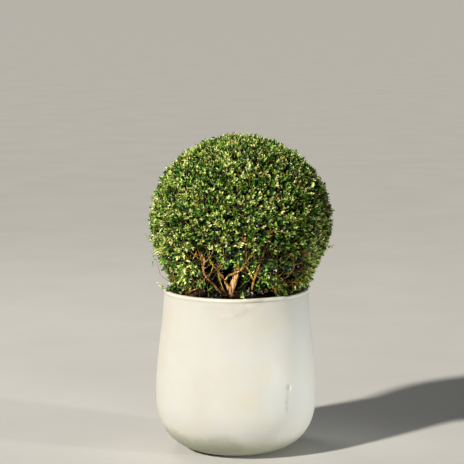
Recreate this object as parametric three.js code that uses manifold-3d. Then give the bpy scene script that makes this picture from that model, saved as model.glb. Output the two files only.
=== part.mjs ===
// A clipped box ball, about 400 mm across, growing in a round-shouldered stone-effect pot.
// Millimetres, +Z up. The origin is the middle of the pot's flat underside, on the ground.
// The plant faces -Y: the gap in its lower leaves, where the stems show, opens that way.
import * as THREE from "three";
import { mergeVertices } from "three/addons/utils/BufferGeometryUtils.js";
import Module from "manifold-3d";

const wasm = await Module();
wasm.setup();

// Driving dimensions of the pot
const POT_HEIGHT = 354;
const RIM_RADIUS = 157;
const WIDEST_RADIUS = 175;
const WIDEST_HEIGHT = 114;
const FOOT_RADIUS = 76;
const WALL = 10;
const BASE_THICKNESS = 14;
const LIP_HEIGHT = 8;
const SHOULDER_FULLNESS = 0.65;
const FLANK_FULLNESS = 0.4;
const DRAIN_HOLES = 3;
const DRAIN_RADIUS = 9;
const DRAIN_CIRCLE = 55;

// Driving dimensions of the plant
const SOIL_DROP = 30;
const BALL_RADIUS = 200;
const BALL_HALF_HEIGHT = 190;
const BALL_CENTRE = new THREE.Vector3(10, 0, 503);
const CORE_SHARE = 0.84;
const CORE_SHARE_BELOW = 0.93;
const CORE_ROUGHNESS = 0.11;
const TRUNK_FOOT = new THREE.Vector2(-14, 0);

// Pieces that touch keep this gap.
const CLEARANCE = 0.3;

// How far a corner that shares another's place is drawn away from it.
const SHARED_CORNER_STEP = 0.02;

const ROUND_SEGMENTS = 40;
const SOIL_LEVEL = POT_HEIGHT - SOIL_DROP;
const UP = new THREE.Vector3(0, 0, 1);
const point = (x, y, z) => new THREE.Vector3(x, y, z);

// Random numbers from a seed, the same each time.
function seededRandom(seed) {
  let state = seed;
  return () => {
    state = (state + 0x6d2b79f5) | 0;
    let mixed = Math.imul(state ^ (state >>> 15), 1 | state);
    mixed = (mixed + Math.imul(mixed ^ (mixed >>> 7), 61 | mixed)) ^ mixed;
    return ((mixed ^ (mixed >>> 14)) >>> 0) / 4294967296;
  };
}

// A closed three.js geometry as a solid for cuts and joins.
function solidFrom(geometry) {
  const bare = geometry.clone();
  bare.deleteAttribute("normal");
  bare.deleteAttribute("uv");
  const merged = mergeVertices(bare, 1e-4);
  return new wasm.Manifold(
    new wasm.Mesh({
      numProp: 3,
      vertProperties: new Float32Array(merged.attributes.position.array),
      triVerts: new Uint32Array(merged.index.array),
    }),
  );
}

// A solid as a three.js geometry. Where two of its corners share a place, one is drawn a little inwards.
function geometryFrom(solid) {
  const mesh = solid.getMesh();
  const geometry = new THREE.BufferGeometry();
  geometry.setAttribute("position", new THREE.BufferAttribute(new Float32Array(mesh.vertProperties), 3));
  geometry.setIndex(new THREE.BufferAttribute(new Uint32Array(mesh.triVerts), 1));
  geometry.computeVertexNormals();
  const at = geometry.attributes.position;
  const taken = new Set();
  for (let i = 0; i < at.count; i++) {
    const here = new THREE.Vector3().fromBufferAttribute(at, i);
    const inwards = new THREE.Vector3().fromBufferAttribute(geometry.attributes.normal, i).negate();
    const place = () => here.toArray().map((value) => value.toFixed(3)).join();
    while (taken.has(place())) here.addScaledVector(inwards, SHARED_CORNER_STEP);
    taken.add(place());
    at.setXYZ(i, here.x, here.y, here.z);
  }
  return geometry;
}

// The largest piece of a solid: loose scraps that a cut leaves are dropped.
function largestPiece(solid) {
  const pieces = solid.decompose();
  return pieces.reduce((most, piece) => (piece.volume() > most.volume() ? piece : most));
}

// A body turned about the Z axis from [radius, height] pairs that run from the axis round to the axis.
function turned(profile) {
  const outline = profile.map(([radius, height]) => new THREE.Vector2(radius, height));
  const geometry = new THREE.LatheGeometry(outline, ROUND_SEGMENTS);
  geometry.rotateX(Math.PI / 2);
  return geometry;
}

// Pot

// The pot's outer side, as two curves that meet upright at the widest place.
const flankHeight = POT_HEIGHT - WIDEST_HEIGHT;
const shoulder = new THREE.CubicBezierCurve(
  new THREE.Vector2(FOOT_RADIUS, 0),
  new THREE.Vector2((FOOT_RADIUS + WIDEST_RADIUS) / 2, 0),
  new THREE.Vector2(WIDEST_RADIUS, (1 - SHOULDER_FULLNESS) * WIDEST_HEIGHT),
  new THREE.Vector2(WIDEST_RADIUS, WIDEST_HEIGHT),
);
const flank = new THREE.CubicBezierCurve(
  new THREE.Vector2(WIDEST_RADIUS, WIDEST_HEIGHT),
  new THREE.Vector2(WIDEST_RADIUS, WIDEST_HEIGHT + FLANK_FULLNESS * flankHeight),
  new THREE.Vector2(RIM_RADIUS + 4, POT_HEIGHT - FLANK_FULLNESS * flankHeight),
  new THREE.Vector2(RIM_RADIUS, POT_HEIGHT - LIP_HEIGHT),
);
const potSide = (shoulderSteps, flankSteps) => [
  ...shoulder.getPoints(shoulderSteps),
  ...flank.getPoints(flankSteps).slice(1),
];

// The inner side: points of the outer one moved in by a depth, square to the curve, from the inner floor up.
function sideInwards(depth, lowest) {
  const outer = potSide(5, 3);
  const points = outer.map((here, i) => {
    const before = outer[Math.max(i - 1, 0)];
    const after = outer[Math.min(i + 1, outer.length - 1)];
    const along = after.clone().sub(before).normalize();
    return [here.x - along.y * depth, here.y + along.x * depth];
  });
  return points.filter(([, height]) => height > lowest + 2);
}

function potSolid() {
  const innerSide = sideInwards(WALL, BASE_THICKNESS);
  const floorRadius = innerSide[0][0] - 3;
  const lip = [
    [RIM_RADIUS - 0.5, POT_HEIGHT - 0.4 * LIP_HEIGHT],
    [RIM_RADIUS - 2.5, POT_HEIGHT],
    [RIM_RADIUS - WALL + 1.5, POT_HEIGHT],
    [RIM_RADIUS - WALL, POT_HEIGHT - 2],
  ];
  const shell = solidFrom(
    turned([
      [0, 0],
      ...potSide(8, 5).map((at) => [at.x, at.y]),
      ...lip,
      ...innerSide.reverse(),
      [floorRadius, BASE_THICKNESS],
      [0, BASE_THICKNESS],
    ]),
  );
  const holes = Array.from({ length: DRAIN_HOLES }, (_, i) => {
    const turn = ((i + 0.5) / DRAIN_HOLES) * 2 * Math.PI;
    const hole = new THREE.CylinderGeometry(DRAIN_RADIUS, DRAIN_RADIUS, 3 * BASE_THICKNESS, 12);
    hole.rotateX(Math.PI / 2);
    hole.translate(DRAIN_CIRCLE * Math.cos(turn), DRAIN_CIRCLE * Math.sin(turn), 0);
    return solidFrom(hole);
  });
  return shell.subtract(wasm.Manifold.union(holes));
}

// Soil

// Height of the soil's crumbly top above its level, in low rounded heaps.
function soilHeap(x, y) {
  const broad = Math.sin(x / 31 + 1.7) * Math.cos(y / 27 - 0.6);
  const small = Math.sin(x / 11 - 0.4) * Math.sin(y / 13 + 2.1);
  return 1.4 + 1.5 * broad + 0.9 * small;
}

function soilSolid() {
  const side = sideInwards(WALL + CLEARANCE, BASE_THICKNESS).filter(([, height]) => height < SOIL_LEVEL - 8);
  const below = side[side.length - 1];
  const edgeRadius = below[0] + ((RIM_RADIUS - WALL - CLEARANCE - below[0]) * (SOIL_LEVEL - below[1])) /
    (POT_HEIGHT - LIP_HEIGHT - below[1]);
  const floorHeight = BASE_THICKNESS + CLEARANCE;
  const topRings = [0.82, 0.63, 0.45, 0.28, 0.13];
  const geometry = turned([
    [0, floorHeight],
    [side[0][0] - 3, floorHeight],
    ...side,
    [edgeRadius - 0.5, SOIL_LEVEL],
    ...topRings.map((share) => [share * edgeRadius, SOIL_LEVEL]),
    [0, SOIL_LEVEL],
  ]);
  const at = geometry.attributes.position;
  for (let i = 0; i < at.count; i++) {
    const inner = Math.hypot(at.getX(i), at.getY(i)) < 0.9 * edgeRadius;
    if (inner && at.getZ(i) > SOIL_LEVEL - 1) {
      at.setZ(i, SOIL_LEVEL + soilHeap(at.getX(i), at.getY(i)));
    }
  }
  const seat = new THREE.CylinderGeometry(22, 22, 20, 24);
  seat.rotateX(Math.PI / 2);
  seat.translate(TRUNK_FOOT.x, TRUNK_FOOT.y, SOIL_LEVEL + 10);
  return solidFrom(geometry).subtract(solidFrom(seat));
}

// Limbs

// A limb swept along a smooth line through its points, from its foot's radius to its tip's.
// A flare widens the foot into low roots, and extra makes the whole limb thicker for cutting.
function limbSolid({ through, foot, tip, sides = 6, steps = 8, flare = 0 }, extra = 0) {
  const line = new THREE.CatmullRomCurve3(through, false, "centripetal");
  const { normals, binormals } = line.computeFrenetFrames(steps, false);
  const positions = [];
  for (let i = 0; i <= steps; i++) {
    const share = i / steps;
    const centre = line.getPointAt(share);
    const height = centre.z - through[0].z;
    const thick = THREE.MathUtils.lerp(foot, tip, Math.pow(share, 0.8)) + extra;
    for (let k = 0; k < sides; k++) {
      const turn = (k / sides) * 2 * Math.PI;
      const roots = flare * Math.exp(-height / 9) * (0.65 + 0.35 * Math.cos(3 * turn));
      const out = new THREE.Vector3()
        .addScaledVector(normals[i], Math.cos(turn))
        .addScaledVector(binormals[i], Math.sin(turn));
      if (i === 0 && flare > 0) out.setZ(0).normalize();
      positions.push(...centre.clone().addScaledVector(out, thick + roots).toArray());
    }
  }
  positions.push(...line.getPointAt(0).toArray(), ...line.getPointAt(1).toArray());
  const footMiddle = (steps + 1) * sides;
  const tipMiddle = footMiddle + 1;
  const faces = [];
  for (let k = 0; k < sides; k++) {
    const next = (k + 1) % sides;
    for (let i = 0; i < steps; i++) {
      const low = i * sides;
      const high = low + sides;
      faces.push(low + k, low + next, high + next, low + k, high + next, high + k);
    }
    faces.push(footMiddle, next, k, tipMiddle, steps * sides + k, steps * sides + next);
  }
  const geometry = new THREE.BufferGeometry();
  geometry.setAttribute("position", new THREE.BufferAttribute(new Float32Array(positions), 3));
  geometry.setIndex(faces);
  return solidFrom(geometry);
}

const FOOT_LEVEL = SOIL_LEVEL + CLEARANCE;
const trunkFoot = point(TRUNK_FOOT.x, TRUNK_FOOT.y, FOOT_LEVEL);

// Each limb's points are chosen from the photograph at the front, and made up to match at the back.
const LIMBS = {
  trunk: {
    through: [trunkFoot, point(-14, -1, 336), point(-11, -4, 352), point(-1, -6, 380), point(3, -6, 404)],
    foot: 8.6,
    tip: 5.4,
    sides: 12,
    steps: 9,
    flare: 5,
  },
  bough_left_inner: {
    through: [
      point(-12, -2, 340), point(-22, -7, 366), point(-31, -11, 381), point(-44, -20, 412),
      point(-52, -28, 440),
    ],
    foot: 3.3,
    tip: 2.1,
  },
  bough_left_front: {
    through: [
      point(-14, -6, 332), point(-33, -28, 347), point(-52, -56, 373), point(-68, -84, 397),
      point(-71, -98, 414), point(-68, -106, 430), point(-76, -112, 448),
    ],
    foot: 3.1,
    tip: 2,
    steps: 11,
  },
  bough_left_slender: {
    through: [
      point(-18, 0, 334), point(-31, -10, 350), point(-37, -16, 368), point(-40, -26, 396),
      point(-36, -34, 424),
    ],
    foot: 2,
    tip: 1.4,
    sides: 5,
  },
  bough_left_outer: {
    through: [
      point(-16, 4, 334), point(-60, 2, 348), point(-100, -6, 364), point(-124, -12, 388),
      point(-132, -16, 412),
    ],
    foot: 3.2,
    tip: 2,
  },
  bough_crossing: {
    through: [
      point(-24, -12, 372), point(-16, -20, 384), point(2, -32, 394), point(18, -44, 408),
      point(22, -50, 424),
    ],
    foot: 2.2,
    tip: 1.5,
    sides: 5,
  },
  bough_right_front: {
    through: [
      point(-8, -4, 332), point(14, -9, 335), point(30, -16, 345), point(38, -42, 374), point(44, -68, 400),
      point(54, -94, 432), point(62, -108, 454), point(68, -112, 470),
    ],
    foot: 2.7,
    tip: 1.6,
    steps: 11,
  },
  bough_right_front_arm: {
    through: [
      point(39, -46, 378), point(30, -62, 396), point(23, -74, 412), point(20, -82, 430),
      point(24, -88, 448),
    ],
    foot: 1.8,
    tip: 1.3,
    sides: 5,
  },
  bough_right_low: {
    through: [
      point(-8, 4, 334), point(36, 0, 338), point(68, -10, 349), point(86, -30, 372),
      point(94, -46, 396), point(92, -58, 420),
    ],
    foot: 3,
    tip: 1.8,
    steps: 10,
  },
  bough_right_loop: {
    through: [
      point(86, -22, 364), point(100, -44, 379), point(114, -60, 393), point(123, -70, 408),
      point(122, -78, 428), point(112, -84, 444),
    ],
    foot: 2.2,
    tip: 1.6,
    sides: 5,
    steps: 10,
  },
  bough_right_outer: {
    through: [
      point(-7, 8, 338), point(50, 12, 346), point(98, 4, 357), point(130, -6, 370),
      point(150, -10, 388), point(156, -12, 406),
    ],
    foot: 3.2,
    tip: 2,
    steps: 10,
  },
  bough_centre: {
    through: [point(3, -6, 398), point(6, -6, 430), point(12, -2, 470), point(10, 4, 510)],
    foot: 4.2,
    tip: 2.8,
  },
  bough_centre_right: {
    through: [point(2, -6, 392), point(18, -8, 416), point(38, -8, 440), point(54, -4, 470)],
    foot: 3.6,
    tip: 2.4,
  },
  bough_centre_back: {
    through: [point(0, -4, 386), point(-2, 12, 412), point(-8, 30, 440), point(-10, 44, 474)],
    foot: 3.6,
    tip: 2.4,
  },
  bough_back_left: {
    through: [
      point(-16, 4, 334), point(-36, 30, 350), point(-60, 62, 376), point(-74, 86, 404),
      point(-78, 100, 436),
    ],
    foot: 3.6,
    tip: 2.2,
  },
  bough_back_right: {
    through: [
      point(-10, 6, 336), point(14, 34, 350), point(44, 66, 374), point(66, 92, 402),
      point(76, 106, 436),
    ],
    foot: 3.6,
    tip: 2.2,
  },
  bough_back_low: {
    through: [
      point(-12, 6, 332), point(-10, 44, 342), point(-6, 84, 356), point(-2, 112, 378),
      point(2, 124, 404),
    ],
    foot: 3.2,
    tip: 2,
  },
};

// Every limb as a solid, each cut clear of those before it where it springs from them.
function limbSolids() {
  const made = {};
  let taken = null;
  for (const [name, limb] of Object.entries(LIMBS)) {
    const whole = limbSolid(limb);
    made[name] = taken ? largestPiece(whole.subtract(taken)) : whole;
    const grown = limbSolid(limb, CLEARANCE);
    taken = taken ? taken.add(grown) : grown;
  }
  return { made, taken };
}

// Foliage

// Places where the clipped outline stands fuller or leaner than an even ball.
const SWELLS = [
  { towards: point(-0.73, -0.1, -0.68), extra: 0.07, spread: 0.35 },
  { towards: point(-0.87, -0.1, -0.49), extra: -0.07, spread: 0.15 },
  { towards: point(0.63, -0.1, -0.77), extra: 0.07, spread: 0.3 },
  { towards: point(0.89, -0.1, -0.46), extra: -0.035, spread: 0.2 },
  { towards: point(0.5, 0, 0.87), extra: -0.015, spread: 0.4 },
  { towards: point(0.1, 1, -0.8), extra: 0.09, spread: 0.6 },
  { towards: point(0, -1, -0.8), extra: 0.08, spread: 0.5 },
];

// How far the clipped outline lies from the ball's centre in a direction.
function ballReach(direction) {
  const flat = Math.hypot(direction.x, direction.y) / BALL_RADIUS;
  const even = 1 / Math.hypot(flat, direction.z / BALL_HALF_HEIGHT);
  const swell = SWELLS.reduce((sum, { towards, extra, spread }) => {
    const apart = direction.angleTo(towards) / spread;
    return sum + extra * Math.exp(-apart * apart);
  }, 0);
  return even * (1 + swell);
}

// The gap at the lower front and under the ball, where the stems show.
const GAP_CENTRE = point(10, -70, 340);
const GAP_RADII = point(76, 135, 84);

// Directions spread evenly over a ball, each shifted a little at random.
function spreadDirections(count, random, shift) {
  const golden = Math.PI * (3 - Math.sqrt(5));
  return Array.from({ length: count }, (_, i) => {
    const height = 1 - (2 * i + 1) / count;
    const ring = Math.sqrt(1 - height * height);
    const jolt = point(random() - 0.5, random() - 0.5, random() - 0.5).multiplyScalar(shift);
    return point(ring * Math.cos(golden * i), ring * Math.sin(golden * i), height).add(jolt).normalize();
  });
}

const inGap = (at, grow) => {
  const off = at.clone().sub(GAP_CENTRE).divide(GAP_RADII);
  return off.length() < grow;
};

// The lowest height that foliage may hang to at a place: over the soil, and higher over the rim.
function foliageFloor(x, y) {
  const overRim = THREE.MathUtils.smoothstep(Math.hypot(x, y), RIM_RADIUS - WALL - 18, RIM_RADIUS - WALL - 4);
  return THREE.MathUtils.lerp(SOIL_LEVEL + 8, POT_HEIGHT + 4, overRim);
}

// Whether a point lies in the foliage's own space: inside the outline, off the soil and off the rim.
function inSpace(at, reachShare = 1) {
  const off = at.clone().sub(BALL_CENTRE);
  return at.z > foliageFloor(at.x, at.y) && off.length() < reachShare * ballReach(off.clone().normalize());
}

// A ball of near-even triangles whose corners stand in or out at random, by up to half the roughness.
function roughBall(detail, roughness, random) {
  const geometry = new THREE.IcosahedronGeometry(1, detail);
  geometry.deleteAttribute("normal");
  geometry.deleteAttribute("uv");
  const ball = mergeVertices(geometry, 1e-4);
  const at = ball.attributes.position;
  for (let i = 0; i < at.count; i++) {
    const reach = 1 + roughness * (random() - 0.5);
    at.setXYZ(i, reach * at.getX(i), reach * at.getY(i), reach * at.getZ(i));
  }
  return ball;
}

// The dense inner body of the ball, rough as leaves are, and hollow below where the limbs come in.
function coreSolid(random) {
  const ball = roughBall(5, CORE_ROUGHNESS, random);
  const at = ball.attributes.position;
  for (let i = 0; i < at.count; i++) {
    const out = new THREE.Vector3().fromBufferAttribute(at, i);
    const below = THREE.MathUtils.smoothstep(-out.z, 0.4, 0.75);
    const share = THREE.MathUtils.lerp(CORE_SHARE, CORE_SHARE_BELOW, below);
    out.multiplyScalar(share * ballReach(out.clone().normalize())).add(BALL_CENTRE);
    at.setXYZ(i, out.x, out.y, Math.max(out.z, foliageFloor(out.x, out.y) + 2));
  }
  const gap = roughBall(2, CORE_ROUGHNESS, random);
  gap.scale(GAP_RADII.x, GAP_RADII.y, GAP_RADII.z);
  gap.translate(GAP_CENTRE.x, GAP_CENTRE.y, GAP_CENTRE.z);
  return solidFrom(ball).subtract(solidFrom(gap));
}

const LEAF_LENGTH = 38;
const LEAF_WIDTH = 21;
const LEAF_THICKNESS = 2;
const SPRAYS = 138;
const TWIG_RADIUS = 2.6;
const LEAF_STALK = 4;

// The leaf levels of a spray, from the lowest: how far up the twig, how wide the leaves open
// from it, and which of its three sides carry one.
const LEAF_LEVELS = [
  { share: 0.7, open: 1.25, sides: [0, 1, 2] },
  { share: 0.92, open: 0.62, sides: [0, 1, 2] },
];

// One spray as a closed mesh: a three-sided twig, with leaves of ten faces grown from its sides.
function sprayMesh(root, end, spin, lengths, allowed) {
  const corners = [];
  const faces = [];
  const add = (at) => corners.push(at.toArray()) - 1;
  const along = end.clone().sub(root).normalize();
  const across = along.clone().cross(UP).normalize();
  const height = end.distanceTo(root);
  const ring = (at, radius, turn) => [0, 1, 2].map((k) => {
    const out = across.clone().applyAxisAngle(along, turn + (k * 2 * Math.PI) / 3);
    return add(root.clone().addScaledVector(along, at).addScaledVector(out, radius));
  });
  const wall = (low, high, k) => {
    const next = (k + 1) % 3;
    faces.push([low[k], low[next], high[next]], [low[k], high[next], high[k]]);
  };
  const leaf = (low, high, k, { at, turn, open, length }) => {
    const next = (k + 1) % 3;
    const out = across.clone().applyAxisAngle(along, turn + ((k + 0.5) * 2 * Math.PI) / 3);
    const side = along.clone().cross(out);
    const way = along.clone().multiplyScalar(Math.cos(open)).addScaledVector(out, Math.sin(open));
    const top = side.clone().cross(way).negate();
    const foot = root.clone().addScaledVector(along, at);
    const widest = foot.clone().addScaledVector(way, 0.52 * length);
    const left = add(widest.clone().addScaledVector(side, -0.5 * LEAF_WIDTH));
    const right = add(widest.clone().addScaledVector(side, 0.5 * LEAF_WIDTH));
    const ridge = add(widest.clone().addScaledVector(top, LEAF_THICKNESS));
    const tip = add(foot.clone().addScaledVector(way, length));
    faces.push(
      [high[next], high[k], ridge], [right, high[next], ridge], [tip, right, ridge], [left, tip, ridge],
      [high[k], left, ridge], [low[k], left, high[k]], [low[next], high[next], right],
      [low[k], tip, left], [low[k], low[next], tip], [low[next], right, tip],
    );
  };
  const foot = ring(0, TWIG_RADIUS, spin);
  faces.push([foot[2], foot[1], foot[0]]);
  let below = foot;
  let count = 0;
  LEAF_LEVELS.forEach(({ share, open, sides }, level) => {
    const turn = spin + (level * Math.PI) / 3;
    const at = share * height;
    const radius = TWIG_RADIUS * (1 - 0.5 * share);
    const low = ring(at - 0.5 * LEAF_STALK, radius, turn);
    const high = ring(at + 0.5 * LEAF_STALK, radius, turn);
    for (const k of [0, 1, 2]) {
      wall(below, low, k);
      const length = lengths[count++];
      if (sides.includes(k) && allowed(along, across, turn, k, at, open, length)) {
        leaf(low, high, k, { at, turn, open, length });
      } else {
        wall(low, high, k);
      }
    }
    below = high;
  });
  const bud = add(end);
  for (const k of [0, 1, 2]) faces.push([below[k], below[(k + 1) % 3], bud]);
  const geometry = new THREE.BufferGeometry();
  geometry.setAttribute("position", new THREE.BufferAttribute(new Float32Array(corners.flat()), 3));
  geometry.setIndex(faces.flat());
  return geometry;
}

// A spray that grows out of the core in a direction. Leaves that would leave the space are left off.
function spraySolid(direction, random, reachShare) {
  const reach = reachShare * ballReach(direction);
  const root = direction.clone().multiplyScalar(CORE_SHARE * ballReach(direction) - 16).add(BALL_CENTRE);
  const lean = point(random() - 0.5, random() - 0.5, random() * 0.8).multiplyScalar(18);
  const end = direction.clone().multiplyScalar(reach - 14).add(BALL_CENTRE).add(lean);
  const lengths = Array.from({ length: 6 }, () => LEAF_LENGTH * (0.8 + 0.35 * random()));
  const allowed = (along, across, turn, k, at, open, length) => {
    const out = across.clone().applyAxisAngle(along, turn + ((k + 0.5) * 2 * Math.PI) / 3);
    const way = along.clone().multiplyScalar(Math.cos(open)).addScaledVector(out, Math.sin(open));
    const tip = root.clone().addScaledVector(along, at).addScaledVector(way, length);
    return inSpace(tip, reachShare);
  };
  const spin = random() * Math.PI;
  return inSpace(end, reachShare) ? [solidFrom(sprayMesh(root, end, spin, lengths, allowed))] : [];
}

// Sprigs that stand out beyond the clipped outline, as direction and how many times its reach.
const STRAYS = [
  { towards: point(-1, -0.12, -0.13), reach: 1.1 },
  { towards: point(-0.86, -0.3, -0.36), reach: 1.06 },
  { towards: point(1, -0.1, 0.14), reach: 1.05 },
  { towards: point(0.96, -0.15, -0.18), reach: 1.04 },
  { towards: point(0.2, 0.98, 0.1), reach: 1.05 },
];

function foliageSolid(limbsTaken) {
  const random = seededRandom(41);
  const parts = [coreSolid(random)];
  for (const direction of spreadDirections(SPRAYS, random, 0.12)) {
    const outside = direction.clone().multiplyScalar(ballReach(direction)).add(BALL_CENTRE);
    if (inGap(outside, 1.05)) continue;
    parts.push(...spraySolid(direction, random, 1));
  }
  for (const { towards, reach } of STRAYS) {
    parts.push(...spraySolid(towards.clone().normalize(), random, reach));
  }
  return largestPiece(wasm.Manifold.union(parts).subtract(limbsTaken));
}

// Colours, as seen in soft light

const paint = (colour, roughness) => (
  new THREE.MeshStandardMaterial({ color: colour, roughness, metalness: 0 })
);
const limeWash = paint(0xe6e1d0, 0.85);
const compost = paint(0x2e2018, 1);
const bark = paint(0x8a6b49, 0.9);
const boxLeaf = paint(0x2f4d1c, 0.45);

function piece(name, solid, material) {
  const mesh = new THREE.Mesh(geometryFrom(solid), material);
  mesh.name = name;
  return mesh;
}

const boxBall = new THREE.Group();
boxBall.add(piece("pot", potSolid(), limeWash));
boxBall.add(piece("soil", soilSolid(), compost));
const limbs = limbSolids();
for (const [name, solid] of Object.entries(limbs.made)) boxBall.add(piece(name, solid, bark));
boxBall.add(piece("foliage_ball", foliageSolid(limbs.taken), boxLeaf));

export default boxBall;
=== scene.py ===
"""A clipped box ball on its branching stems, in an off-white lime-washed pot. Metres, +Z up."""

import math

import bpy
import numpy as np
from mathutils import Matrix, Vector


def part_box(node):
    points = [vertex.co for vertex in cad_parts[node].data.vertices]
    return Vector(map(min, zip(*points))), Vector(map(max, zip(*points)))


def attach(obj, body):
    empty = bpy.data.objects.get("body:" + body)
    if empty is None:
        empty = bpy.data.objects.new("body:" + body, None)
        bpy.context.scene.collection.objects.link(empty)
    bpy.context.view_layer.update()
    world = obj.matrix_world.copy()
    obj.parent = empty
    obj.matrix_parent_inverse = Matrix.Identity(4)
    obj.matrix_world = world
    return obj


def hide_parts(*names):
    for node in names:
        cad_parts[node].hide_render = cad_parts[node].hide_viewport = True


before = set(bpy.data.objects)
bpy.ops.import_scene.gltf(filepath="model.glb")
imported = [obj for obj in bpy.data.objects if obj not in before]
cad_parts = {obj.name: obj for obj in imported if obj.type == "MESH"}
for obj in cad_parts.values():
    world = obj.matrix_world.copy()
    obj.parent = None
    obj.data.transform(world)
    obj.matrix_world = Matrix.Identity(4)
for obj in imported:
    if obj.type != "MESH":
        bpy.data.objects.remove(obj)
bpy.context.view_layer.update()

# The pot
POT_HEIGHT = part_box("pot")[1].z
RIM_RADIUS = 0.157
WIDEST_RADIUS = 0.175
WIDEST_HEIGHT = 0.114
FOOT_RADIUS = 0.076
WALL = 0.010
BASE_THICKNESS = 0.014
LIP_HEIGHT = 0.008
SHOULDER_FULLNESS = 0.65
FLANK_FULLNESS = 0.4
DRAIN_HOLES = 3
DRAIN_RADIUS = 0.009
DRAIN_CIRCLE = 0.055
SMUDGE_TURN = math.radians(-49)
SCAR_TURN = math.radians(-47.8)
SCAR_HEIGHT = 0.159
SCAR_RADIUS = 0.174
GROOVE_DROP = 0.0078
RING_MARK_TURN = math.radians(-71.3)
RING_MARK_HEIGHT = 0.199

# The soil, and what lies on it and on the rim's left
SOIL_LEVEL = POT_HEIGHT - 0.030
LITTER_REACH = 0.135
SOIL_CRUMBS = 1100
RIM_CRUMBS = 26
SOIL_CHIPS = 70
FALLEN_LEAVES = 26
RIM_LEAF_AWAY = 0.150
RIM_LEAF_TURNS = math.pi + np.array([-0.02, 0.10, 0.24, 0.33])

# The clipped ball, and where it swells or sinks: towards which side, how far, and how wide in radians
BALL_CENTRE = np.array((0.010, 0.0, 0.503))
BALL_RADIUS = 0.200
BALL_HALF_HEIGHT = 0.190
SWELLS = [
    ((-0.73, -0.1, -0.68), 0.07, 0.35),
    ((-0.87, -0.1, -0.49), -0.07, 0.15),
    ((0.63, -0.1, -0.77), 0.07, 0.30),
    ((0.89, -0.1, -0.46), -0.035, 0.2),
    ((0.5, 0, 0.87), -0.015, 0.4),
    ((0.1, 1, -0.8), 0.09, 0.6),
    ((0, -1, -0.8), 0.08, 0.5),
]

# Parts of the crown, each a middle and its three radii: the gap where the stems show, the thin leaves
# round it, and the lower right, whose leaves are dark: partly older leaves, partly painted shade
GAP = np.array([(0.010, -0.070, 0.340), (0.076, 0.135, 0.084)])
THIN_FRONT = np.array([(0.012, -0.145, 0.372), (0.128, 0.118, 0.108)])
SHADE = np.array([(0.078, -0.110, 0.412), (0.062, 0.110, 0.072)])

# Where the soil shows under the foliage at the front: from and to across, the foliage's edge and its
# slope towards the back, and how far back that goes
SOIL_VIEWS = [(-0.115, -0.060), (0.054, 0.088)]
SOIL_VIEW_TOP = 0.351
SOIL_VIEW_SLOPE = -0.196
SOIL_VIEW_BACK = 0.12

# The way that one looks from the front and a little above, at limbs that leaves shouldn't hide
FRONT_VIEW = np.array((0.0, 0.9917, -0.1288))

# Forks and sprays: how many are tried, at what share of the outline's reach, and how unevenly. Of those
# at the thin front, only a share grows
INNER_FORKS = (90, 0.50, 0.35)
OUTER_FORKS = (560, 0.71, 0.16)
SPRAY_ROOTS = (4700, 0.81, 0.05)
FRONT_FORK_SHARE = 0.40
FRONT_SPRAY_SHARE = 0.60
BACKING_SHOOTS = 1200
SHOOT_FLOOR = SOIL_LEVEL + 0.010
CLIPPED_ENDS = 1000
SPRAY_BEND = 0.035
SPRAY_LONGEST = 0.080
SIDE_SPRAY_LONGEST = 0.026

# Each kind of twig: foot radius, tip radius and sides
TWIG_SIZES = {
    "inner_branches": (0.0019, 0.0013, 6),
    "outer_branches": (0.0013, 0.0009, 5),
    "fine_twigs": (0.0008, 0.0006, 3),
    "slender_stems": (0.0013, 0.0008, 6),
    "clipped_ends": (0.0007, 0.0005, 3),
    "spray_twigs": (0.0007, 0.0004, 3),
}

# Where the four points of a spray's line lie along it
SPRAY_STOPS = np.array([0.0, 0.38, 0.72, 1.0])

# Leaves: pairs on each kind of shoot, and how many of the outermost pairs are folded along the midrib
SPRAY_PAIRS = 6
SIDE_SPRAY_PAIRS = 3
LOW_SHOOT_PAIRS = 9
SLENDER_STEM_PAIRS = 5
STRAY_SPRIG_PAIRS = 7
FOLDED_PAIRS = 2
LEAF_LENGTH = 0.0087
LEAF_WIDTH_SHARE = 0.43
LEAF_SPACING = 0.0049
LEAF_CLEARANCE = 0.0008

# In front of the limbs that show: the share of leaves lost and of twigs left, and how near counts
HIDING_LEAVES_LOST = 0.88
CROSSING_TWIGS_LEFT = 0.25
HIDING_MARGIN = 0.0016

# The heights above which no leaf can hide a shown limb, or touch any limb
SHOWN_LIMBS_TOP = 0.47
LIMBS_TOP = 0.50

TAU = 2 * math.pi
UP = np.array((0.0, 0.0, 1.0))

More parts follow.
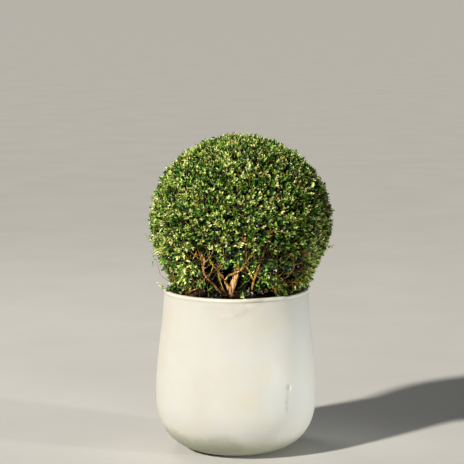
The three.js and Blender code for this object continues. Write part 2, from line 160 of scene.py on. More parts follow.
# Each limb's points, foot radius and tip radius in millimetres, as the frame's solids have them
LIMB_MEASURES = {
    "trunk": ([
        (-14, 0, 324.3), (-14, -1, 336), (-11, -4, 352), (-1, -6, 380), (3, -6, 404),
    ], 8.6, 5.4),
    "bough_left_inner": ([
        (-12, -2, 340), (-22, -7, 366), (-31, -11, 381), (-44, -20, 412), (-52, -28, 440),
    ], 3.3, 2.1),
    "bough_left_front": ([
        (-14, -6, 332), (-33, -28, 347), (-52, -56, 373), (-68, -84, 397), (-71, -98, 414),
        (-68, -106, 430), (-76, -112, 448),
    ], 3.1, 2),
    "bough_left_slender": ([
        (-18, 0, 334), (-31, -10, 350), (-37, -16, 368), (-40, -26, 396), (-36, -34, 424),
    ], 2, 1.4),
    "bough_left_outer": ([
        (-16, 4, 334), (-60, 2, 348), (-100, -6, 364), (-124, -12, 388), (-132, -16, 412),
    ], 3.2, 2),
    "bough_crossing": ([
        (-24, -12, 372), (-16, -20, 384), (2, -32, 394), (18, -44, 408), (22, -50, 424),
    ], 2.2, 1.5),
    "bough_right_front": ([
        (-8, -4, 332), (14, -9, 335), (30, -16, 345), (38, -42, 374), (44, -68, 400), (54, -94, 432),
        (62, -108, 454), (68, -112, 470),
    ], 2.7, 1.6),
    "bough_right_front_arm": ([
        (39, -46, 378), (30, -62, 396), (23, -74, 412), (20, -82, 430), (24, -88, 448),
    ], 1.8, 1.3),
    "bough_right_low": ([
        (-8, 4, 334), (36, 0, 338), (68, -10, 349), (86, -30, 372), (94, -46, 396), (92, -58, 420),
    ], 3, 1.8),
    "bough_right_loop": ([
        (86, -22, 364), (100, -44, 379), (114, -60, 393), (123, -70, 408), (122, -78, 428),
        (112, -84, 444),
    ], 2.2, 1.6),
    "bough_right_outer": ([
        (-7, 8, 338), (50, 12, 346), (98, 4, 357), (130, -6, 370), (150, -10, 388), (156, -12, 406),
    ], 3.2, 2),
    "bough_centre": ([
        (3, -6, 398), (6, -6, 430), (12, -2, 470), (10, 4, 510),
    ], 4.2, 2.8),
    "bough_centre_right": ([
        (2, -6, 392), (18, -8, 416), (38, -8, 440), (54, -4, 470),
    ], 3.6, 2.4),
    "bough_centre_back": ([
        (0, -4, 386), (-2, 12, 412), (-8, 30, 440), (-10, 44, 474),
    ], 3.6, 2.4),
    "bough_back_left": ([
        (-16, 4, 334), (-36, 30, 350), (-60, 62, 376), (-74, 86, 404), (-78, 100, 436),
    ], 3.6, 2.2),
    "bough_back_right": ([
        (-10, 6, 336), (14, 34, 350), (44, 66, 374), (66, 92, 402), (76, 106, 436),
    ], 3.6, 2.2),
    "bough_back_low": ([
        (-12, 6, 332), (-10, 44, 342), (-6, 84, 356), (-2, 112, 378), (2, 124, 404),
    ], 3.2, 2),
}
LIMBS = {
    name: (np.array(points) / 1000, foot / 1000, tip / 1000)
    for name, (points, foot, tip) in LIMB_MEASURES.items()
}

# The limbs that show at the front, each with the height from which it does, and how much of its length
SHOWN_LIMBS = {
    "trunk": 0.0, "bough_left_inner": 0.346, "bough_left_front": 0.346, "bough_left_slender": 0.346,
    "bough_crossing": 0.346, "bough_right_front": 0.344, "bough_right_front_arm": 0.346,
    "bough_right_low": 0.376, "bough_right_loop": 0.376,
}
SHOWN_SHARE = 0.85
TRUNK_SHOWN_TO = 0.388

# The younger limbs with yellower bark, and the ones in the shade whose bark is far darker: partly older bark,
# partly painted shade
YOUNG_LIMBS = ["bough_crossing", "bough_right_front", "bough_right_front_arm"]
SHADED_LIMBS = [
    "bough_left_outer", "bough_right_low", "bough_right_outer", "bough_centre", "bough_centre_right",
    "bough_centre_back", "bough_back_left", "bough_back_right", "bough_back_low",
]

# Slender yellowish stems that cross the thin leaves at the lower front
SLENDER_STEMS = np.array([
    [(53, -93, 430), (60, -104, 454), (67, -112, 468), (75, -120, 483)],
    [(23, -80, 421), (21, -96, 445), (19, -102, 465), (20, -108, 481)],
    [(-38, -18, 396), (-36, -64, 404), (-27, -78, 419), (-28, -98, 459)],
    [(-60, -70, 386), (-49, -90, 420), (-57, -100, 432), (-66, -114, 462)],
    [(-71, -96, 412), (-75, -108, 434), (-79, -114, 448), (-84, -120, 466)],
    [(-69, -102, 424), (-60, -106, 432), (-51, -112, 448), (-41, -118, 470)],
    [(-37, -20, 372), (-38, -60, 392), (-36, -80, 416), (-27, -92, 427)],
    [(86, -30, 372), (87, -76, 400), (87, -98, 430), (87, -116, 472)],
    [(88, -94, 424), (82, -98, 433), (76, -102, 441), (70, -108, 451)],
    [(98, 4, 357), (114, -56, 368), (131, -90, 388), (150, -104, 404)],
    [(-22, -16, 340), (-30, -46, 364), (-36, -66, 387), (-39, -80, 408)],
    [(21, -80, 424), (33, -100, 440), (44, -108, 446), (54, -114, 460)],
    [(-80, -4, 358), (-93, -78, 384), (-101, -108, 418), (-96, -120, 444)],
    [(-22, -8, 366), (-30, -68, 390), (-56, -90, 424), (-74, -96, 442)],
]) / 1000

# Sprigs that stand out beyond the clipped outline
STRAY_SPRIGS = [np.array(points) / 1000 for points in [
    [(-165, -20, 452), (-180, -22, 463), (-196, -24, 472)],
    [(-140, -50, 372), (-166, -56, 394), (-180, -60, 420), (-177, -62, 447)],
    [(-128, -40, 352), (-150, -46, 360), (-168, -50, 372)],
    [(180, -20, 508), (199, -22, 520), (210, -22, 529)],
    [(176, -28, 446), (194, -30, 447), (209, -30, 452)],
    [(45, 176, 512), (50, 190, 520), (54, 199, 530)],
]]

# Leafy shoots that spring low beside the stems and hang over the soil
LOW_SHOOTS = np.array([
    [(-20, -12, 336), (-34, -50, 350), (-42, -88, 342)],
    [(-33, -28, 347), (-50, -70, 350), (-60, -104, 340)],
    [(14, -9, 335), (18, -50, 354), (14, -86, 350)],
    [(30, -16, 345), (34, -56, 352), (36, -98, 344)],
    [(36, -36, 368), (52, -66, 366), (58, -100, 356)],
    [(14, -9, 335), (30, -40, 340), (48, -78, 336)],
    [(-4, -6, 345), (10, -16, 350), (26, -26, 352)],
    [(2, -6, 352), (14, -18, 362), (22, -30, 376)],
    [(2, -6, 366), (16, -20, 372), (30, -34, 386)],
    [(30, -16, 345), (46, -34, 358), (60, -54, 372)],
    [(34, -28, 358), (52, -52, 360), (66, -76, 366)],
    [(-22, -16, 340), (-34, -40, 346), (-46, -64, 352)],
    [(68, -10, 349), (86, -40, 352), (96, -70, 342)],
    [(68, -10, 349), (92, -34, 350), (104, -58, 344)],
    [(98, 4, 357), (116, -20, 358), (130, -40, 354)],
    [(38, -1, 338), (42, -30, 358), (48, -60, 366)],
    [(44, -2, 341), (50, -30, 362), (56, -54, 374)],
    [(52, -5, 343), (60, -32, 366), (70, -58, 380)],
    [(60, -8, 346), (72, -40, 368), (80, -70, 380)],
    [(72, -14, 353), (81, -46, 368), (88, -78, 376)],
    [(14, 34, 350), (16, 12, 364), (20, -8, 372)],
    [(26, 46, 358), (28, 20, 368), (32, -2, 378)],
    [(44, 66, 374), (40, 40, 376), (40, 10, 384)],
    [(36, 58, 369), (22, 34, 380), (12, 14, 392)],
    [(-60, 2, 348), (-66, -24, 360), (-70, -52, 368)],
    [(-76, -1, 354), (-82, -30, 366), (-88, -58, 372)],
    [(-46, 3, 343), (-52, -22, 354), (-56, -44, 362)],
]) / 1000


# Shapes shared by the pieces


def unit(vectors):
    """The vectors at length 1."""
    return vectors / np.linalg.norm(vectors, axis=-1, keepdims=True)


def turned_way(turn, first, second):
    """The direction at each turn from a first one towards a second."""
    return np.cos(turn)[..., None] * first + np.sin(turn)[..., None] * second


def round_axis(away, turn, height):
    """Points at distances and turns round the pot's axis."""
    return np.stack([away * np.cos(turn), away * np.sin(turn), height], axis=1)


def lumps(points, size, seed):
    """Smooth unevenness from about -1 to 1 at each point, with lumps about that size."""
    random = np.random.default_rng(seed)
    waves = unit(random.normal(size=(14, 3))) * TAU / size * random.uniform(0.6, 1.5, (14, 1))
    phases = random.uniform(0, TAU, 14)
    return np.sin(points @ waves.T + phases).sum(-1) / 4.5


def smooth_line(through, steps):
    """Evenly spaced points on a smooth line through the given ones."""
    points = np.array(through, float)
    ends = np.vstack([2 * points[0] - points[1], points, 2 * points[-1] - points[-2]])
    fine = []
    for corners in zip(ends, ends[1:], ends[2:], ends[3:]):
        gaps = [np.linalg.norm(b - a) ** 0.5 for a, b in zip(corners, corners[1:])]
        knots = np.cumsum([0, *gaps])
        for at in np.linspace(knots[1], knots[2], 16):
            mixed = corners
            for spans in (((0, 1), (1, 2), (2, 3)), ((0, 2), (1, 3)), ((1, 2),)):
                mixed = [
                    ((knots[high] - at) * a + (at - knots[low]) * b) / (knots[high] - knots[low])
                    for (low, high), a, b in zip(spans, mixed, mixed[1:])
                ]
            fine.append(mixed[0])
    fine = np.array(fine)
    walked = np.concatenate([[0], np.cumsum(np.linalg.norm(np.diff(fine, axis=0), axis=1))])
    evenly = np.linspace(0, walked[-1], steps + 1)
    return np.stack([np.interp(evenly, walked, fine[:, k]) for k in range(3)], axis=1)


def smooth_lines(many, steps):
    """A smooth line through each of many rows of points, all with as many steps."""
    return np.array([smooth_line(through, steps) for through in many])


def line_frames(line):
    """At each point of a line: its direction and two directions across it, with no twist."""
    along = unit(np.gradient(line, axis=0))
    aside = np.cross(along[0], (0.3, 1.0, 0.1))
    across = []
    for direction in along:
        aside = unit(aside - (aside @ direction) * direction)
        across.append(aside)
    across = np.array(across)
    return along, across, np.cross(along, across)


def turned(profile, segments):
    """Corners and faces of a body turned about Z, from (radius, height) rows that run from axis to axis."""
    rows = np.array(profile[1:-1])
    turn = np.linspace(0, TAU, segments, endpoint=False)
    ring = np.stack([np.cos(turn), np.sin(turn)], axis=1)
    sides = rows[:, None, :1] * ring[None]
    heights = np.broadcast_to(rows[:, None, 1:], (len(rows), segments, 1))
    corners = np.concatenate([sides, heights], axis=2).reshape(-1, 3)
    low, high = len(corners), len(corners) + 1
    corners = np.vstack([corners, (0, 0, profile[0][1]), (0, 0, profile[-1][1])])
    here = np.arange(segments)
    following = (here + 1) % segments
    faces = []
    for row in range(len(rows) - 1):
        start, above = row * segments, (row + 1) * segments
        faces += np.stack([start + here, start + following, above + following, above + here], 1).tolist()
    last = (len(rows) - 1) * segments
    faces += [[low, int(b), int(a)] for a, b in zip(here, following)]
    faces += [[high, last + int(a), last + int(b)] for a, b in zip(here, following)]
    return corners, faces


def swept(lines, radii, sides):
    """Corners and faces of many tapered twigs. Lines are (twig, point, xyz) and radii (twig, point)."""
    count, steps = radii.shape
    whole = unit(lines[:, -1] - lines[:, 0])
    aside = unit(np.cross(whole, (0.31, 0.52, 0.8)))
    other = np.cross(whole, aside)
    turn = np.linspace(0, TAU, sides, endpoint=False)
    out = turned_way(turn, aside[:, None], other[:, None])
    rings = lines[:, :, None] + radii[:, :, None, None] * out[:, None]
    tips = lines[:, -1:] + 0.8 * radii[:, -1:, None] * whole[:, None]
    corners = np.concatenate([rings.reshape(count, steps * sides, 3), tips], axis=1)
    one = []
    for k in range(sides):
        following = (k + 1) % sides
        for step in range(steps - 1):
            low, high = step * sides, (step + 1) * sides
            one.append([low + k, low + following, high + following, high + k])
        one.append([(steps - 1) * sides + k, (steps - 1) * sides + following, steps * sides])
    one.append(list(range(sides))[::-1])
    each = steps * sides + 1
    faces = [[corner + twig * each for corner in face] for twig in range(count) for face in one]
    return corners.reshape(-1, 3), faces


def new_object(name, data):
    """A new object in the scene with its mesh, light or camera."""
    made = bpy.data.objects.new(name, data)
    bpy.context.scene.collection.objects.link(made)
    return made


def make_piece(name, corners, faces, material, slot, *nodes, smooth=True):
    """A mesh that rides on the plant's one body and stands for the named solids of the frame."""
    mesh = bpy.data.meshes.new(name)
    mesh.from_pydata(np.asarray(corners).tolist(), [], faces)
    mesh.polygons.foreach_set("use_smooth", [smooth] * len(mesh.polygons))
    mesh.materials.append(material)
    mesh.update()
    piece = new_object(name, mesh)
    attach(piece, "root")
    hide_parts(*nodes)
    return piece


# Finishes


def colour(red, green, blue):
    """A colour given as it looks on screen, from 0 to 255, as the linear one that a shader takes."""
    linear = [((c / 255 + 0.055) / 1.055) ** 2.4 if c > 10 else c / 255 / 12.92 for c in (red, green, blue)]
    return (*linear, 1.0)


def add(tree, kind, inputs=None, **settings):
    """A new node in the tree. An input is a plain value, or a socket to link from."""
    made = tree.nodes.new(kind)
    for name, value in settings.items():
        setattr(made, name, value)
    for name, value in (inputs or {}).items():
        if isinstance(value, bpy.types.NodeSocket):
            tree.links.new(value, made.inputs[name])
        else:
            made.inputs[name].default_value = value
    return made


def new_group(name, takes, gives):
    """An empty shader group with those named inputs, each with its start value, and outputs."""
    tree = bpy.data.node_groups.new(name, "ShaderNodeTree")
    for label, value in takes.items():
        kind = "NodeSocketColor" if isinstance(value, tuple) else "NodeSocketFloat"
        socket = tree.interface.new_socket(name=label, in_out="INPUT", socket_type=kind)
        socket.default_value = value
    for label, kind in gives.items():
        tree.interface.new_socket(name=label, in_out="OUTPUT", socket_type=kind)
    return tree, tree.nodes.new("NodeGroupInput").outputs, tree.nodes.new("NodeGroupOutput").inputs


def object_place(tree):
    """The place on the object."""
    return add(tree, "ShaderNodeTexCoord").outputs["Object"]


def stretched_place(tree, stretch):
    """The place on the object, with its height multiplied by a stretch socket."""
    place = object_place(tree)
    scale = add(tree, "ShaderNodeCombineXYZ", {"X": 1.0, "Y": 1.0, "Z": stretch}).outputs[0]
    return add(tree, "ShaderNodeVectorMath", {0: place, 1: scale}, operation="MULTIPLY").outputs[0]


def blended(tree, share, first, second):
    """A colour between two, by a share from 0 to 1."""
    return add(tree, "ShaderNodeMix", {"Factor": share, 6: first, 7: second}, data_type="RGBA").outputs[2]


def reach_map(tree, value, low, high, to_low=0.0, to_high=1.0):
    """A value from one range eased into another."""
    inputs = {"Value": value, "From Min": low, "From Max": high, "To Min": to_low, "To Max": to_high}
    return add(tree, "ShaderNodeMapRange", inputs, interpolation_type="SMOOTHSTEP").outputs["Result"]


def reckoned(tree, operation, first, second):
    """Two values put together by an operation."""
    return add(tree, "ShaderNodeMath", {0: first, 1: second}, operation=operation).outputs[0]


def product(tree, first, second):
    """Two values multiplied."""
    return reckoned(tree, "MULTIPLY", first, second)


def clouds(tree, place, scale, detail, roughness=0.5):
    """Cloudy unevenness from 0 to 1."""
    inputs = {"Vector": place, "Scale": scale, "Detail": detail, "Roughness": roughness}
    return add(tree, "ShaderNodeTexNoise", inputs).outputs[0]


def build_patches():
    """Cloudy patches of a second colour over a first, as wash, damp and dust leave them."""
    takes = {
        "Ground": (0.8, 0.8, 0.8, 1), "Patch": (0.5, 0.5, 0.5, 1), "Size": 8.0, "Stretch": 1.0,
        "Cover": 0.5, "Softness": 0.15,
    }
    tree, given, out = new_group("patches", takes, {"Colour": "NodeSocketColor", "Mask": "NodeSocketFloat"})
    uneven = clouds(tree, stretched_place(tree, given["Stretch"]), given["Size"], 5.0, 0.55)
    edge = reckoned(tree, "SUBTRACT", 1.0, given["Cover"])
    low = reckoned(tree, "SUBTRACT", edge, given["Softness"])
    high = reckoned(tree, "ADD", edge, given["Softness"])
    mask = reach_map(tree, uneven, low, high)
    tree.links.new(blended(tree, mask, given["Ground"], given["Patch"]), out["Colour"])
    tree.links.new(mask, out["Mask"])
    return tree


def build_grain():
    """Fine relief of grains and shallow pits, for bumps."""
    takes = {"Size": 400.0, "Stretch": 1.0, "Pits": 0.5}
    tree, given, out = new_group("grain", takes, {"Height": "NodeSocketFloat"})
    place = stretched_place(tree, given["Stretch"])
    grains = clouds(tree, place, given["Size"], 4.0, 0.6)
    pit_size = product(tree, given["Size"], 0.35)
    pits = add(tree, "ShaderNodeTexVoronoi", {"Vector": place, "Scale": pit_size})
    sunk = reach_map(tree, pits.outputs["Distance"], 0.05, 0.28, -1.0, 0.0)
    height = reckoned(tree, "ADD", grains, product(tree, sunk, given["Pits"]))
    tree.links.new(height, out["Height"])
    return tree


PATCHES = build_patches()
GRAIN = build_grain()


def patched(tree, ground, patch, size, cover, softness, stretch=1.0):
    """Patches placed in a material: their colour and mask."""
    inputs = {"Ground": ground, "Patch": patch, "Size": size, "Cover": cover, "Softness": softness}
    return add(tree, "ShaderNodeGroup", {**inputs, "Stretch": stretch}, node_tree=PATCHES).outputs


def grained(tree, size, pits, stretch=1.0):
    """Grain placed in a material: its height."""
    inputs = {"Size": size, "Stretch": stretch, "Pits": pits}
    return add(tree, "ShaderNodeGroup", inputs, node_tree=GRAIN).outputs["Height"]


def add_relief(tree, shader, height, strength, distance):
    """A relief's height given to the shader."""
    bump = add(tree, "ShaderNodeBump", {"Height": height, "Strength": strength, "Distance": distance})
    tree.links.new(bump.outputs[0], shader.inputs["Normal"])


def new_material(name, **shader_values):
    """A material, its tree and its shader, with plain values set on the shader's own sockets."""
    material = bpy.data.materials.new(name)
    material.use_nodes = True
    shader = material.node_tree.nodes["Principled BSDF"]
    for label, value in shader_values.items():
        shader.inputs[label.replace("_", " ")].default_value = value
    return material, material.node_tree, shader


def spot_mask(tree, turn, height, radius, width, tall):
    """1 at a spot on the pot's side, falling to 0 over a width and a height."""
    middle = (radius * math.cos(turn), radius * math.sin(turn), height)
    place = object_place(tree)
    off = add(tree, "ShaderNodeVectorMath", {0: place, 1: middle}, operation="SUBTRACT").outputs[0]
    shrink = (1 / width, 1 / width, 1 / tall)
    off = add(tree, "ShaderNodeVectorMath", {0: off, 1: shrink}, operation="MULTIPLY").outputs[0]
    away = add(tree, "ShaderNodeVectorMath", {0: off}, operation="LENGTH").outputs["Value"]
    return reach_map(tree, away, 0.45, 1.0, 1.0, 0.0)


def lime_wash():
    """Off-white lime wash over fibre clay: warm and cool clouds, faint streaks, a darker grey-green foot that
    is partly damp and partly painted shade with a painted green reflection, a painted highlight on the lip
    and painted shade in the groove under it.
    """
    material, tree, shader = new_material("lime_wash", Roughness=0.62, Specular_IOR_Level=0.35)
    ground, cool = colour(200, 199, 193), colour(195, 196, 191)
    ground = patched(tree, ground, cool, size=4.0, cover=0.5, softness=0.16)["Colour"]
    beige = colour(197, 192, 178)
    beige = patched(tree, ground, beige, size=9.0, cover=0.40, softness=0.2, stretch=1.2)["Colour"]
    streak = colour(198, 196, 180)
    streaks = patched(tree, beige, streak, size=38.0, cover=0.36, softness=0.14, stretch=0.12)["Colour"]
    thinned = blended(tree, 0.5, beige, streaks)
    place = object_place(tree)
    height = add(tree, "ShaderNodeSeparateXYZ", {0: place}).outputs["Z"]
    ragged = clouds(tree, place, 9.0, 6.0, 0.6)
    level = reckoned(tree, "ADD", height, reach_map(tree, ragged, 0.3, 0.7, -0.014, 0.014))
    # A darker grey-green band at the foot: partly damp staining, partly painted shade and a painted green
    # reflection
    damp = reach_map(tree, level, 0.024, 0.066, 1.0, 0.0)
    with_damp_and_shaded_foot = blended(tree, product(tree, damp, 0.85), thinned, colour(150, 153, 130))
    ring_mark = spot_mask(tree, RING_MARK_TURN, RING_MARK_HEIGHT, 0.169, 0.030, 0.030)
    mottled = clouds(tree, place, 70.0, 5.0)
    ring_share = product(tree, ring_mark, reach_map(tree, mottled, 0.36, 0.66, 0.1, 0.45))
    with_ring = blended(tree, ring_share, with_damp_and_shaded_foot, colour(196, 187, 160))
    scar = spot_mask(tree, SCAR_TURN, SCAR_HEIGHT, SCAR_RADIUS, 0.0032, 0.010)
    stain = spot_mask(tree, SCAR_TURN - 0.055, SCAR_HEIGHT + 0.002, SCAR_RADIUS, 0.008, 0.011)
    drip = spot_mask(tree, SCAR_TURN - 0.07, SCAR_HEIGHT - 0.030, SCAR_RADIUS, 0.007, 0.030)
    dirt = reckoned(tree, "MAXIMUM", stain, product(tree, drip, 0.6))
    dirty = product(tree, dirt, reach_map(tree, mottled, 0.42, 0.60, 0.25, 0.8))
    stained = blended(tree, dirty, with_ring, colour(158, 160, 136))
    marked = blended(tree, product(tree, scar, 0.8), stained, colour(232, 230, 218))
    # Painted highlight: the lip's top band is lighter, as where it faces up into the light
    lip_highlight = reach_map(tree, height, POT_HEIGHT - GROOVE_DROP, POT_HEIGHT - 0.0050)
    lip = blended(tree, product(tree, lip_highlight, 0.7), marked, colour(220, 215, 200))
    # Painted shade: a darker line in the groove under the lip
    groove_low = reach_map(tree, height, POT_HEIGHT - 0.0100, POT_HEIGHT - 0.0080)
    groove_high = reach_map(tree, height, POT_HEIGHT - GROOVE_DROP, POT_HEIGHT - 0.0062, 1.0, 0.0)
    groove = product(tree, groove_low, groove_high)
    groove_shade_and_smudge = blended(tree, product(tree, groove, 0.3), lip, colour(176, 170, 148))
    smudge = spot_mask(tree, SMUDGE_TURN, POT_HEIGHT, RIM_RADIUS - 0.5 * WALL, 0.011, 0.005)
    smudged = product(tree, smudge, reach_map(tree, mottled, 0.40, 0.60, 0.2, 0.7))
    groove_shade_and_smudge = blended(tree, smudged, groove_shade_and_smudge, colour(150, 140, 118))
    tree.links.new(groove_shade_and_smudge, shader.inputs["Base Color"])
    tree.links.new(reach_map(tree, ragged, 0.35, 0.65, 0.5, 0.72), shader.inputs["Roughness"])
    grain = grained(tree, size=260.0, pits=0.35, stretch=0.6)
    brushed = clouds(tree, place, 30.0, 3.0)
    relief = reckoned(tree, "ADD", product(tree, grain, 0.25), brushed)
    sunk = reckoned(tree, "SUBTRACT", relief, product(tree, scar, 1.2))
    add_relief(tree, shader, sunk, strength=0.35, distance=0.0012)
    return material


def compost():
    """Dark crumbly compost, drier and paler in cloudy patches, with fine paler flecks."""
    material, tree, shader = new_material("compost", Roughness=0.95, Specular_IOR_Level=0.15)
    dark, dry = colour(76, 51, 38), colour(108, 74, 56)
    crumbs = patched(tree, dark, dry, size=60.0, cover=0.42, softness=0.1)["Colour"]
    fibres = patched(tree, crumbs, colour(138, 102, 76), size=420.0, cover=0.3, softness=0.05)["Colour"]
    tree.links.new(fibres, shader.inputs["Base Color"])
    add_relief(tree, shader, grained(tree, size=700.0, pits=0.8), strength=0.8, distance=0.0008)
    return material


def stem_bark(name, ground, patch, furrow, stained=False):
    """Woody bark with darker cracks that run along the stem; a stained one is damp and dark near the soil."""
    material, tree, shader = new_material(name, Roughness=0.8, Specular_IOR_Level=0.25)
    ground, patch, furrow = colour(*ground), colour(*patch), colour(*furrow)
    blotched = patched(tree, ground, patch, size=90.0, cover=0.45, softness=0.12, stretch=0.35)["Colour"]
    cracks = patched(tree, blotched, furrow, size=330.0, cover=0.45, softness=0.05, stretch=0.14)
    skin = cracks["Colour"]
    if stained:
        height = add(tree, "ShaderNodeSeparateXYZ", {0: object_place(tree)}).outputs["Z"]
        damp = reach_map(tree, height, SOIL_LEVEL + 0.018, SOIL_LEVEL + 0.032, 0.85, 0.0)
        skin = blended(tree, damp, skin, colour(58, 40, 28))
    tree.links.new(skin, shader.inputs["Base Color"])
    grain = grained(tree, size=900.0, pits=0.5, stretch=0.2)
    relief = reckoned(tree, "SUBTRACT", grain, cracks["Mask"])
    add_relief(tree, shader, relief, strength=0.7, distance=0.0006)
    return material


def leaf_skin(name, tint, roughness):
    """The glossy skin of one tint of leaf."""
    return new_material(name, Base_Color=tint, Roughness=roughness, Specular_IOR_Level=0.52)[0]


LIME_WASH = lime_wash()
COMPOST = compost()
TRUNK_BARK = stem_bark("trunk_bark", (228, 186, 128), (204, 152, 94), (92, 62, 38))
BOUGH_BARK = stem_bark("bough_bark", (236, 190, 134), (214, 160, 104), (128, 88, 56), stained=True)
YOUNG_BARK = stem_bark("young_bark", (232, 190, 100), (222, 152, 78), (140, 98, 56), stained=True)
# Painted shade: a far darker copy of the bough bark for the limbs deep in the crown, partly older bark
SHADED_BARK = stem_bark("shaded_bark", (92, 68, 44), (70, 52, 34), (44, 32, 22))
TWIG_BARK = stem_bark("twig_bark", (104, 82, 50), (82, 64, 38), (54, 40, 26))
SHOOT_SKIN = stem_bark("shoot_skin", (206, 186, 88), (204, 148, 78), (140, 114, 54))
CUT_TWIG = stem_bark("cut_twig", (228, 168, 92), (214, 186, 84), (170, 108, 58))

# The tints of leaf: share of the sprays, colour and roughness
LEAF_TINTS = {
    # leaves_deep is near black: partly dark leaves, partly painted shade in the crown's gaps
    "leaves_deep": (0.26, colour(7, 24, 8), 0.33),
    "leaves_dark": (0.26, colour(25, 69, 19), 0.34),
    "leaves_mid": (0.23, colour(70, 134, 33), 0.36),
    # The bright and fresh tints, up to near-white cream, are partly young growth and partly painted sheen
    # where leaves catch the light
    "leaves_bright": (0.17, colour(156, 200, 76), 0.38),
    "leaves_fresh_and_sheen": (0.08, colour(236, 243, 156), 0.40),
    "leaves_dry": (0.008, colour(176, 130, 70), 0.55),
}
DRY_TINT = len(LEAF_TINTS) - 1
FRESH_SHEEN_TINT = DRY_TINT - 1
MIDDLE_TINT = FRESH_SHEEN_TINT - 2

# How many tints lighter a leaf is, by its pair's number from the shoot's tip down: partly as younger leaves
# at the tip and older ones further in, partly painted light on the outermost leaves and painted shade further
# in
LIGHTER_BY_PAIR = np.array([1.5, 0.5, -0.7, -1.6, -2.0, -2.4, -2.4, -2.4, -2.4])


# The pot and its soil


def cubic(start, start_pull, end_pull, end, steps):
    """Points on a curve from start to end, drawn by two pulls."""
    share = np.linspace(0, 1, steps + 1)[:, None]
    left = 1 - share
    ends = left**3 * np.array(start) + share**3 * np.array(end)
    return ends + 3 * left**2 * share * np.array(start_pull) + 3 * left * share**2 * np.array(end_pull)


def pot_side(shoulder_steps, flank_steps):
    """The pot's outer side, as two curves that meet upright at the widest place."""
    flank_height = POT_HEIGHT - WIDEST_HEIGHT
    widest = (WIDEST_RADIUS, WIDEST_HEIGHT)
    shoulder = cubic(
        (FOOT_RADIUS, 0), ((FOOT_RADIUS + WIDEST_RADIUS) / 2, 0),
        (WIDEST_RADIUS, (1 - SHOULDER_FULLNESS) * WIDEST_HEIGHT), widest, shoulder_steps,
    )
    pull = FLANK_FULLNESS * flank_height
    flank = cubic(
        widest, (WIDEST_RADIUS, WIDEST_HEIGHT + pull), (RIM_RADIUS + 0.004, POT_HEIGHT - pull),
        (RIM_RADIUS, POT_HEIGHT - LIP_HEIGHT), flank_steps,
    )
    return np.vstack([shoulder, flank[1:]])


def side_inwards(depth):
    """The outer side moved in by a depth, square to the curve, from the inner floor up."""
    outer = pot_side(18, 22)
    along = unit(np.gradient(outer, axis=0))
    inner = outer + depth * np.stack([-along[:, 1], along[:, 0]], axis=1)
    return inner[inner[:, 1] > BASE_THICKNESS + 0.002]


def arc(centre, radius, start, end, steps):
    """Points on an arc of the profile between two angles in degrees."""
    turn = np.radians(np.linspace(start, end, steps))
    return np.array(centre) + radius * np.stack([np.cos(turn), np.sin(turn)], axis=1)


def pot_profile():
    """The pot's (radius, height) rows: underside, side, soft lip, inside and floor."""
    foot_steps = np.linspace(0.01, FOOT_RADIUS - 0.004, 10)
    under = np.stack([foot_steps, np.zeros(10)], axis=1)
    side = pot_side(44, 40)
    outer_round, inner_round = 0.0026, 0.0020
    lip_heights = np.linspace(side[-1][1] + 0.0008, POT_HEIGHT - 0.0028, 8)
    lip_side = np.stack([np.full(8, RIM_RADIUS), lip_heights], axis=1)
    lip_outer = arc((RIM_RADIUS - outer_round, POT_HEIGHT - outer_round), outer_round, 8, 90, 7)
    lip_inner = arc((RIM_RADIUS - WALL + inner_round, POT_HEIGHT - inner_round), inner_round, 90, 180, 6)
    inside = side_inwards(WALL)[::-1]
    floor_radius = inside[-1][0] - 0.003
    floor = np.stack([np.linspace(floor_radius, 0.01, 8), np.full(8, BASE_THICKNESS)], axis=1)
    rows = np.vstack([under, side, lip_side, lip_outer, lip_inner, inside, floor])
    return [(0, 0), *rows.tolist(), (0, BASE_THICKNESS)]


def finish_by_hand(corners):
    """Moves the pot's corners: slight sway and dents, the groove under the lip, and the scar."""
    away = np.hypot(corners[:, 0], corners[:, 1])
    turn = np.arctan2(corners[:, 1], corners[:, 0])
    raised = np.clip(corners[:, 2] / 0.03, 0, 1)
    sway = 0.0007 * np.sin(2 * turn + 0.8) + 0.0004 * np.sin(3 * turn - 14 * corners[:, 2])
    dents = 0.00035 * lumps(corners, 0.09, 3) + 0.00012 * lumps(corners, 0.022, 4)
    line = -0.0006 * np.exp(-(((corners[:, 2] - POT_HEIGHT + GROOVE_DROP) / 0.0012) ** 2))
    line += 0.0005 * np.clip((corners[:, 2] - POT_HEIGHT + 0.0070) / 0.0020, 0, 1)
    scar_side = (turn - SCAR_TURN) * away / 0.003
    scar_up = (corners[:, 2] - SCAR_HEIGHT) / 0.009
    scar = -0.0012 * np.exp(-(scar_side**2) - scar_up**2) * (away > WIDEST_RADIUS - 0.006)
    shift = raised * (sway + dents + line + scar) / np.maximum(away, 0.02)
    corners[:, :2] *= (1 + shift)[:, None]
    lip = corners[:, 2] > POT_HEIGHT - 0.006
    corners[lip, 2] += 0.0004 * lumps(corners[lip] * (1, 1, 0), 0.11, 5)


def cut_drain_holes(pot):
    """Round holes through the pot's base."""
    for k in range(DRAIN_HOLES):
        turn = (k + 0.5) / DRAIN_HOLES * TAU
        profile = [(0, -0.02), (DRAIN_RADIUS, -0.02), (DRAIN_RADIUS, 0.03), (0, 0.03)]
        corners, faces = turned(profile, 24)
        corners += (DRAIN_CIRCLE * math.cos(turn), DRAIN_CIRCLE * math.sin(turn), 0)
        cutter_mesh = bpy.data.meshes.new("drain_cut")
        cutter_mesh.from_pydata(corners.tolist(), [], faces)
        cutter = new_object("drain_cut", cutter_mesh)
        cut = pot.modifiers.new("drain", "BOOLEAN")
        cut.operation = "DIFFERENCE"
        cut.object = cutter
        cut_mesh = bpy.data.meshes.new_from_object(pot.evaluated_get(bpy.context.evaluated_depsgraph_get()))
        pot.modifiers.clear()
        pot.data = cut_mesh
        bpy.data.objects.remove(cutter)


